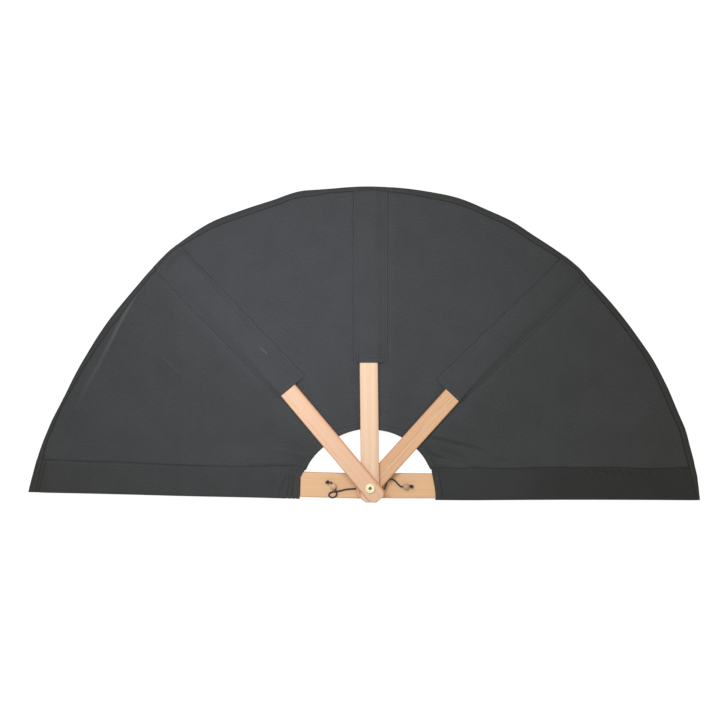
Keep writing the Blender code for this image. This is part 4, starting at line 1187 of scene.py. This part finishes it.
def tunnel(name, sleeve, seam_side, body, ends, mat, thread_mat, shade_mat):
    """The casing sewn on the leaf's straight edge and folded round a guard."""
    left = name == "left"
    seam_q = abs(sleeve.edge[seam_side])
    low_q = TUNNEL_LOW - sleeve.half
    front = spread((seam_q + FLAP, seam_q - 5 * MM, 0.4 * MM), (seam_q - 5 * MM, low_q, 1.15 * MM))
    arc = np.radians(np.linspace(90, -90, 16)[1:])
    back = spread((low_q, seam_q + FLAP, 2.0 * MM))[1:]
    qs = np.concatenate([front, np.full(len(arc), low_q), back])
    on_face = np.s_[:, :len(front)]
    on_fold = np.s_[:, len(front):len(front) + len(arc)]
    on_back = np.s_[:, len(front) + len(arc):]
    tip = sleeve.rim_x(seam_side * qs, inset=RIM_SHORT)
    step = spread((0, 32 * MM, 0.6 * MM), (32 * MM, 60 * MM, 1.5 * MM))
    x = columns_to(straight(ends, qs), tip, step, 150)
    q = np.broadcast_to(qs, x.shape).copy()
    z = np.zeros_like(x)
    face_q = sleeve.sewn(x[on_face], q[on_face])
    z[on_face] = tunnel_front(sleeve, seam_side, x[on_face], face_q)
    top = tunnel_front(sleeve, seam_side, x[on_fold], q[on_fold])
    low = CLOTH_T / 2
    fold = sleeve.fold_at(x[on_fold]) - CLOTH_T / 2
    if left:
        fold = fold - 0.5 * MM * sum(bump_at(x[on_fold], c + s, 1.6 * MM) for c, s, _ in GATHERS)
    q[on_fold] = low_q - (fold + low_q) * np.cos(arc)
    z[on_fold] = (top + low) / 2 + (top - low) / 2 * np.sin(arc)
    z[on_back] = low + sleeve.raised(x[on_back], seam_side * q[on_back], seam_side)
    girth = travel_along(grid(q[0], z[0]))
    q[on_face] = face_q
    spots = grid(*sleeve.plan(x, seam_side * q), sleeve.base + z)
    half = grid_normals(spots, len(front)) * CLOTH_T / 2
    uvs = grid(x, np.broadcast_to(girth, x.shape))
    ob = solid_between("tunnel_cloth_" + name, spots - half, spots + half, mat, uvs)
    fit(ob, body, "tunnel_" + name)

    def on_front(x, q, above):
        q = sleeve.sewn(x, q)
        z = sleeve.base + tunnel_front(sleeve, seam_side, x, q) + CLOTH_T / 2
        return grid(*sleeve.plan(x, seam_side * q), z + above)

    def across_at(inside, q, above):
        """A line across the front, so far inside the mouth."""
        return on_front(straight(ends, q) + inside, q, above)

    def along(q, after, count):
        rim = float(sleeve.rim_x(np.array(seam_side * q)))
        return np.linspace(float(straight(ends, q)) + after, rim - 9 * MM, count)

    x = along(seam_q, 3 * MM, 400)
    stitches = [on_front(x, np.full_like(x, seam_q - TUNNEL_STITCH), 0.06 * MM)]
    q = np.linspace(0.015 if left else seam_q - 3 * MM, low_q, 120)
    stitches.append(across_at(LEFT_MOUTH_STITCH if left else TUNNEL_HEM - STITCH_INSET, q, 0.06 * MM))

    # Black lines of painted shade: along the seam, across the end at the rim, thicker by the mouth; on
    # the left down the puckers' valleys and along the mouth's edge, on the right along the mouth hem's
    # inner edge
    edge = seam_q + FLAP + 0.25 * MM
    x = along(edge, 0.0, 300)
    z = sleeve.base + CLOTH_T + SEAM_LIFT * sleeve.lift_share(x) + 0.35 * MM
    seam = grid(*sleeve.plan(x, seam_side * sleeve.sewn(x, edge)), z)
    q = np.linspace(-sleeve.half + 1 * MM, seam_q, 30)
    x = sleeve.rim_x(seam_side * q)
    for _ in range(4):
        x = x + rim_gap(*sleeve.plan(x, seam_side * q)) - 0.3 * MM
    edges = [seam, on_front(x, q, 0.0), seam[:4 if left else 12]]
    radii = [TUNNEL_SHADE_LINE_R, TUNNEL_SHADE_LINE_R, 1.5 * TUNNEL_SHADE_LINE_R]
    if left:
        q = np.linspace(low_q, 0.0165, 50)
        edges += [on_front(gather_x(each, q), q, 0.04 * MM) for each in GATHERS[1:]]
        radii += [GATHER_LINE_R] * len(GATHERS[1:])
        edges.append(across_at(-0.2 * MM, np.linspace(low_q, 0.0105, 40), -CLOTH_T / 2))
    else:
        q = np.linspace(low_q, seam_q - 1 * MM, 50)
        edges.append(across_at(TUNNEL_HEM + 0.2 * MM, q, 0.0))
    seams = [
        thread("tunnel_thread_" + name, stitches, thread_mat),
        shade_line("tunnel_painted_shade_" + name, edges, shade_mat, radii + [MOUTH_LINE_R]),
    ]
    for piece in seams:
        fit(piece, body)
    return ob, seams


# Cord
BRAID_SIDES = 16
BRAID_STEP = 0.00028
BRAID_LAY = 0.0030
BRAID_DEPTH = 0.11
KNOT_POINTS = 150
KNOT_CORD_R = 0.86 * CORD_R
KNOT_END_R = 0.9 * CORD_R
KNOT_SIZE = 0.00076
KNOT_RISE = 0.00085
KNOT_TAIL = 0.0030


def smooth_route(points, step):
    """Points every step on a smooth curve through the route."""
    points = np.asarray(points, float)
    travel = travel_along(points)
    fine = np.linspace(0, travel[-1], max(2, int(travel[-1] / step)))
    return grid(*(curve_through(tuple(zip(travel, points[:, k])), fine) for k in range(3)))


def tube(name, line, radius, mat, closed=False):
    """A round cord along a line, its strands standing out as a braid."""
    line = np.asarray(line, float)
    ahead = np.gradient(line, axis=0)
    if closed:
        ahead = np.roll(line, -1, axis=0) - np.roll(line, 1, axis=0)
    ahead /= np.linalg.norm(ahead, axis=1, keepdims=True)
    up = np.array((0, 0, 1.0)) if abs(ahead[0][2]) < 0.9 else np.array((1.0, 0, 0))
    travel = travel_along(line)
    turns = 2 * np.pi * np.arange(BRAID_SIDES)[:, None] / BRAID_SIDES
    verts = []
    for spot, way, gone in zip(line, ahead, travel):
        up = up - way * (up @ way)
        up /= np.linalg.norm(up)
        end = min(gone, travel[-1] - gone) / radius
        full = 1.0 if closed else math.sqrt(min(1.0, 0.25 + 0.75 * end))
        phase = 2 * math.pi * gone / BRAID_LAY
        strands = np.abs(np.cos(turns + phase) * np.cos(turns - phase)) - 0.5
        bulge = radius * full * (1 + BRAID_DEPTH * strands)
        verts += hoop(spot, up, np.cross(way, up), bulge, BRAID_SIDES)
    faces = hoop_faces(0, len(line), BRAID_SIDES, closed)
    return finish_mesh(name, verts, faces, mat, smooth_deg=70)


def overhand(name, centre, along, mat, tail_way):
    """A tight overhand knot: a trefoil of the same cord, and its cut end."""
    along = Vector(along).normalized()
    turned = np.array(along.to_track_quat("X", "Z").to_matrix())
    t = 2 * np.pi * np.arange(KNOT_POINTS) / KNOT_POINTS
    trefoil = grid((np.sin(t) + 2 * np.sin(2 * t)) * KNOT_SIZE,
                   (np.cos(t) - 2 * np.cos(2 * t)) * KNOT_SIZE, -np.sin(3 * t) * KNOT_RISE)
    loop = tube(name, np.array(centre) + trefoil @ turned.T, KNOT_CORD_R, mat, closed=True)
    start = Vector(centre) + along * 1.2 * MM
    way = (along + Vector(tail_way)).normalized()
    stub = [tuple(start + way * KNOT_TAIL * t) for t in np.linspace(0, 1, 12)]
    end = tube(name + "_end", stub, KNOT_END_R, mat)
    joined = bmesh.new()
    joined.from_mesh(loop.data)
    joined.from_mesh(end.data)
    joined.to_mesh(loop.data)
    joined.free()
    bpy.data.objects.remove(end)
    return loop


def cords(mat):
    low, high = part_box("cord_winding")
    ring_r = (high.x - low.x) / 2 - CORD_R
    t = np.linspace(0, 2 * math.pi, 161)[:-1]
    ring = grid(ring_r * np.cos(t), ring_r * np.sin(t), np.full_like(t, (high.z + low.z) / 2))
    winding = tube("cord_turn", ring, CORD_R, mat, closed=True)
    fit(winding, "fan_middle", "cord_winding")
    for side, route, tail_way in (
        ("left", LEFT_CORD_ROUTE, (-0.6, -0.1, -0.15)),
        ("right", RIGHT_CORD_ROUTE, (0.1, -0.5, -0.35)),
    ):
        line = smooth_route(route, BRAID_STEP)
        piece = tube("free_cord_" + side, line, CORD_R, mat)
        fit(piece, "fan_middle", "cord_" + side)
        low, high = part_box("knot_" + side)
        knot = overhand("tied_knot_" + side, (low + high) / 2, line[-1] - line[-8], mat, tail_way)
        fit(knot, "fan_middle", "knot_" + side)


def paint(node, mat):
    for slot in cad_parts[node].material_slots:
        slot.material = mat


def dress_solids():
    """Finishes of the solids that show as they are."""
    # Each: node, pale and deep tones, angle, seed, share of flecks, the painted shade along its rounded
    # edges, and its grain lines
    ribs = (
        ("rib_middle", (0.857, 0.606, 0.418), (0.731, 0.475, 0.289), MIDDLE_RIB_DEG, 3.0, 0.10,
         ((-0.0120, 0.0030, 0.45), (0.0147, 0.0016, 0.5)), ((-0.0088, 0.0006, 0.25),)),
        ("rib_left", (0.811, 0.520, 0.343), (0.718, 0.406, 0.235), LEFT_RIB_DEG, 7.0, 0.12,
         ((-0.0147, 0.0055, 0.8), (0.0147, 0.0016, 0.5)),
         ((0.0075, 0.0006, 0.5), (0.0042, 0.0005, 0.3))),
        ("rib_right", (0.781, 0.475, 0.271), (0.654, 0.348, 0.169), RIGHT_RIB_DEG, 11.0, 0.55,
         ((0.0147, 0.0030, 0.6), (-0.0147, 0.0020, 0.6)),
         ((0.0010, 0.0006, 0.8), (-0.0048, 0.0005, 0.5), (0.0070, 0.0004, 0.4))),
        ("guard_left", (0.824, 0.519, 0.286), (0.699, 0.396, 0.190), LEFT_GUARD_DEG, 15.0, 0.10,
         ((0.0205, 0.0022, 0.7), (-0.0205, 0.0014, 0.8)), ((0.0100, 0.0005, 0.2),)),
        ("guard_right", (0.852, 0.529, 0.292), (0.719, 0.408, 0.198), RIGHT_GUARD_DEG, 19.0, 0.10,
         ((-0.0205, 0.0022, 0.7), (0.0205, 0.0014, 0.8)), ((-0.0080, 0.0005, 0.2),)),
    )
    for node, pale, deep, deg, seed, fleck_share, edge_shade, lines in ribs:
        paint(node, wood("beech_" + node, pale, deep, deg, seed, fleck_share, edge_shade, lines))
    metal, plastic = brass(), nylon()
    paint("bead_left", wood("beech_bead_left", (0.693, 0.473, 0.326), (0.567, 0.347, 0.210), 40, 23.0))
    paint("bead_right", wood("beech_bead_right", (0.58, 0.38, 0.25), (0.46, 0.28, 0.17), 40, 27.0))
    for node in ("barrel_nut", "socket_screw"):
        paint(node, metal)
    for node in ("washer_guards", "cord_spacer", "washer_lower", "washer_upper"):
        paint(node, plastic)


# Stage
def add_object(name, data):
    ob = bpy.data.objects.new(name, data)
    bpy.context.scene.collection.objects.link(ob)
    return ob


def floor_material():
    """White where the camera and clear or shiny things see it, and plain grey to all other light."""
    mat = bpy.data.materials.new("white_floor")
    mat.use_nodes = True
    tree = mat.node_tree
    tree.nodes.clear()
    seen = add_node(tree, "LightPath", out="Is Camera Ray")
    for other in ("Is Glossy Ray", "Is Transmission Ray"):
        inputs = {0: seen, 1: add_node(tree, "LightPath", out=other)}
        seen = add_node(tree, "Math", inputs, operation="MAXIMUM")
    lit = add_node(tree, "BsdfDiffuse", {"Color": FLOOR_LIT})
    glow = add_node(tree, "Emission", {"Strength": FLOOR_GLOW})
    plain = add_node(tree, "BsdfDiffuse", {"Color": FLOOR_PLAIN})
    both = add_node(tree, "AddShader", {0: lit, 1: glow})
    mixed = add_node(tree, "MixShader", {0: seen, 1: plain, 2: both})
    add_node(tree, "OutputMaterial", {0: mixed})
    return mat


def stage_and_light():
    scene = bpy.context.scene
    camera = bpy.data.cameras.new("camera")
    camera.lens = LENS_MM
    camera.sensor_width = SENSOR_MM
    scene.camera = add_object("camera", camera)
    scene.camera.location = EYE

    floor = bpy.data.meshes.new("floor")
    corners = [(x, y, FLOOR_Z) for x, y in ((-1, -1), (1, -1), (1, 1), (-1, 1))]
    corners = [(x * FLOOR_REACH, y * FLOOR_REACH, z) for x, y, z in corners]
    floor.from_pydata(corners, [], [(0, 1, 2, 3)])
    floor.materials.append(floor_material())
    add_object("floor", floor)

    world = bpy.data.worlds.new("studio")
    world.use_nodes = True
    tree = world.node_tree
    room = tree.nodes["Background"]
    wire(tree, room.inputs["Color"], ROOM_COLOUR)
    wire(tree, room.inputs["Strength"], ROOM_LEVEL)
    beyond = add_node(tree, "Background", {"Color": (1, 1, 1, 1)})
    seen = add_node(tree, "LightPath", out="Is Camera Ray")
    mixed = add_node(tree, "MixShader", {0: seen, 1: room.outputs[0], 2: beyond})
    wire(tree, tree.nodes["World Output"].inputs[0], mixed)
    scene.world = world

    lamp = bpy.data.lights.new("key", "AREA")
    lamp.shape = "DISK"
    lamp.energy = KEY_POWER
    lamp.color = KEY_COLOUR
    lamp.size = KEY_SIZE
    add_object("key", lamp).location = KEY_AT
    scene.view_settings.view_transform = "Standard"


def sewn_leaf(panel, cloth, turned, topstitch, painted_shade):
    """One stretch of leaf with its hems, stitches, and black lines of painted shade along its edges."""
    leaf = leaf_panel(panel, cloth)
    rim, rim_lines = rim_hem(panel, turned)
    inner, inner_lines = inner_hem(panel, cloth)
    seams = [
        thread("rim_thread_" + panel.name, rim_lines[:1], topstitch),
        thread("hem_thread_" + panel.name, inner_lines[:1], topstitch),
        shade_line("rim_painted_shade_" + panel.name, rim_lines[1:], painted_shade, RIM_SHADE_LINE_R),
        shade_line("hem_painted_shade_" + panel.name, inner_lines[1:], painted_shade),
    ]
    for seam in seams:
        fade(seam, panel)


def main():
    stage_and_light()
    cords(twine("navy_braid", (0.016, 0.010, 0.028), (0.060, 0.042, 0.085), 0.25))
    dress_solids()
    cloth = woven("charcoal_weave", marks=LEAF_MARKS)
    # The rim's turned band is a darker copy of the same cloth: painted shade
    turned = woven("charcoal_hem_painted_shade", (0.75, 0.715, 0.69))
    topstitch = twine("grey_thread", (0.098, 0.101, 0.104), (0.152, 0.156, 0.160), 0.2)
    dark = twine("dark_thread", (0.048, 0.050, 0.052), (0.084, 0.087, 0.090), 0.2)
    # Near-black twine for the lines of painted shade along creases, seams and edges
    painted_shade = twine("black_painted_shade", (0.006, 0.006, 0.008), (0.013, 0.013, 0.016), 0.2)
    for panel in PANELS:
        sewn_leaf(panel, cloth, turned, topstitch, painted_shade)
    for name, sleeve, body, mat in (
        # The left pocket's cloth is a slightly lighter copy of the same cloth: painted light
        ("left", left_rib, "left_rib",
         woven("charcoal_pocket_left_painted_light_and_shade", (1.04, 1.04, 1.04), LEFT_POCKET_MARKS)),
        ("middle", middle_rib, "fan_middle", woven("charcoal_pocket")),
        ("right", right_rib, "right_rib", woven("charcoal_pocket_right", marks=RIGHT_POCKET_MARKS)),
    ):
        piece, seams = pocket(name, sleeve, body, mat, topstitch, painted_shade)
    for name, sleeve, seam_side, ends, mat, stitch in (
        # The casings are darker copies of the same cloth: painted shade towards the bottom, deepest on
        # the right
        ("left", left_guard, -1, LEFT_TUNNEL_ENDS,
         woven("charcoal_casing_left_painted_shade", (0.87, 0.855, 0.84), LEFT_CASING_MARKS), topstitch),
        ("right", right_guard, 1, RIGHT_TUNNEL_ENDS,
         woven("charcoal_casing_right_painted_shade", (0.575, 0.57, 0.558), RIGHT_CASING_MARKS), dark),
    ):
        piece, seams = tunnel(name, sleeve, seam_side, name + "_guard", ends, mat, stitch, painted_shade)


main()
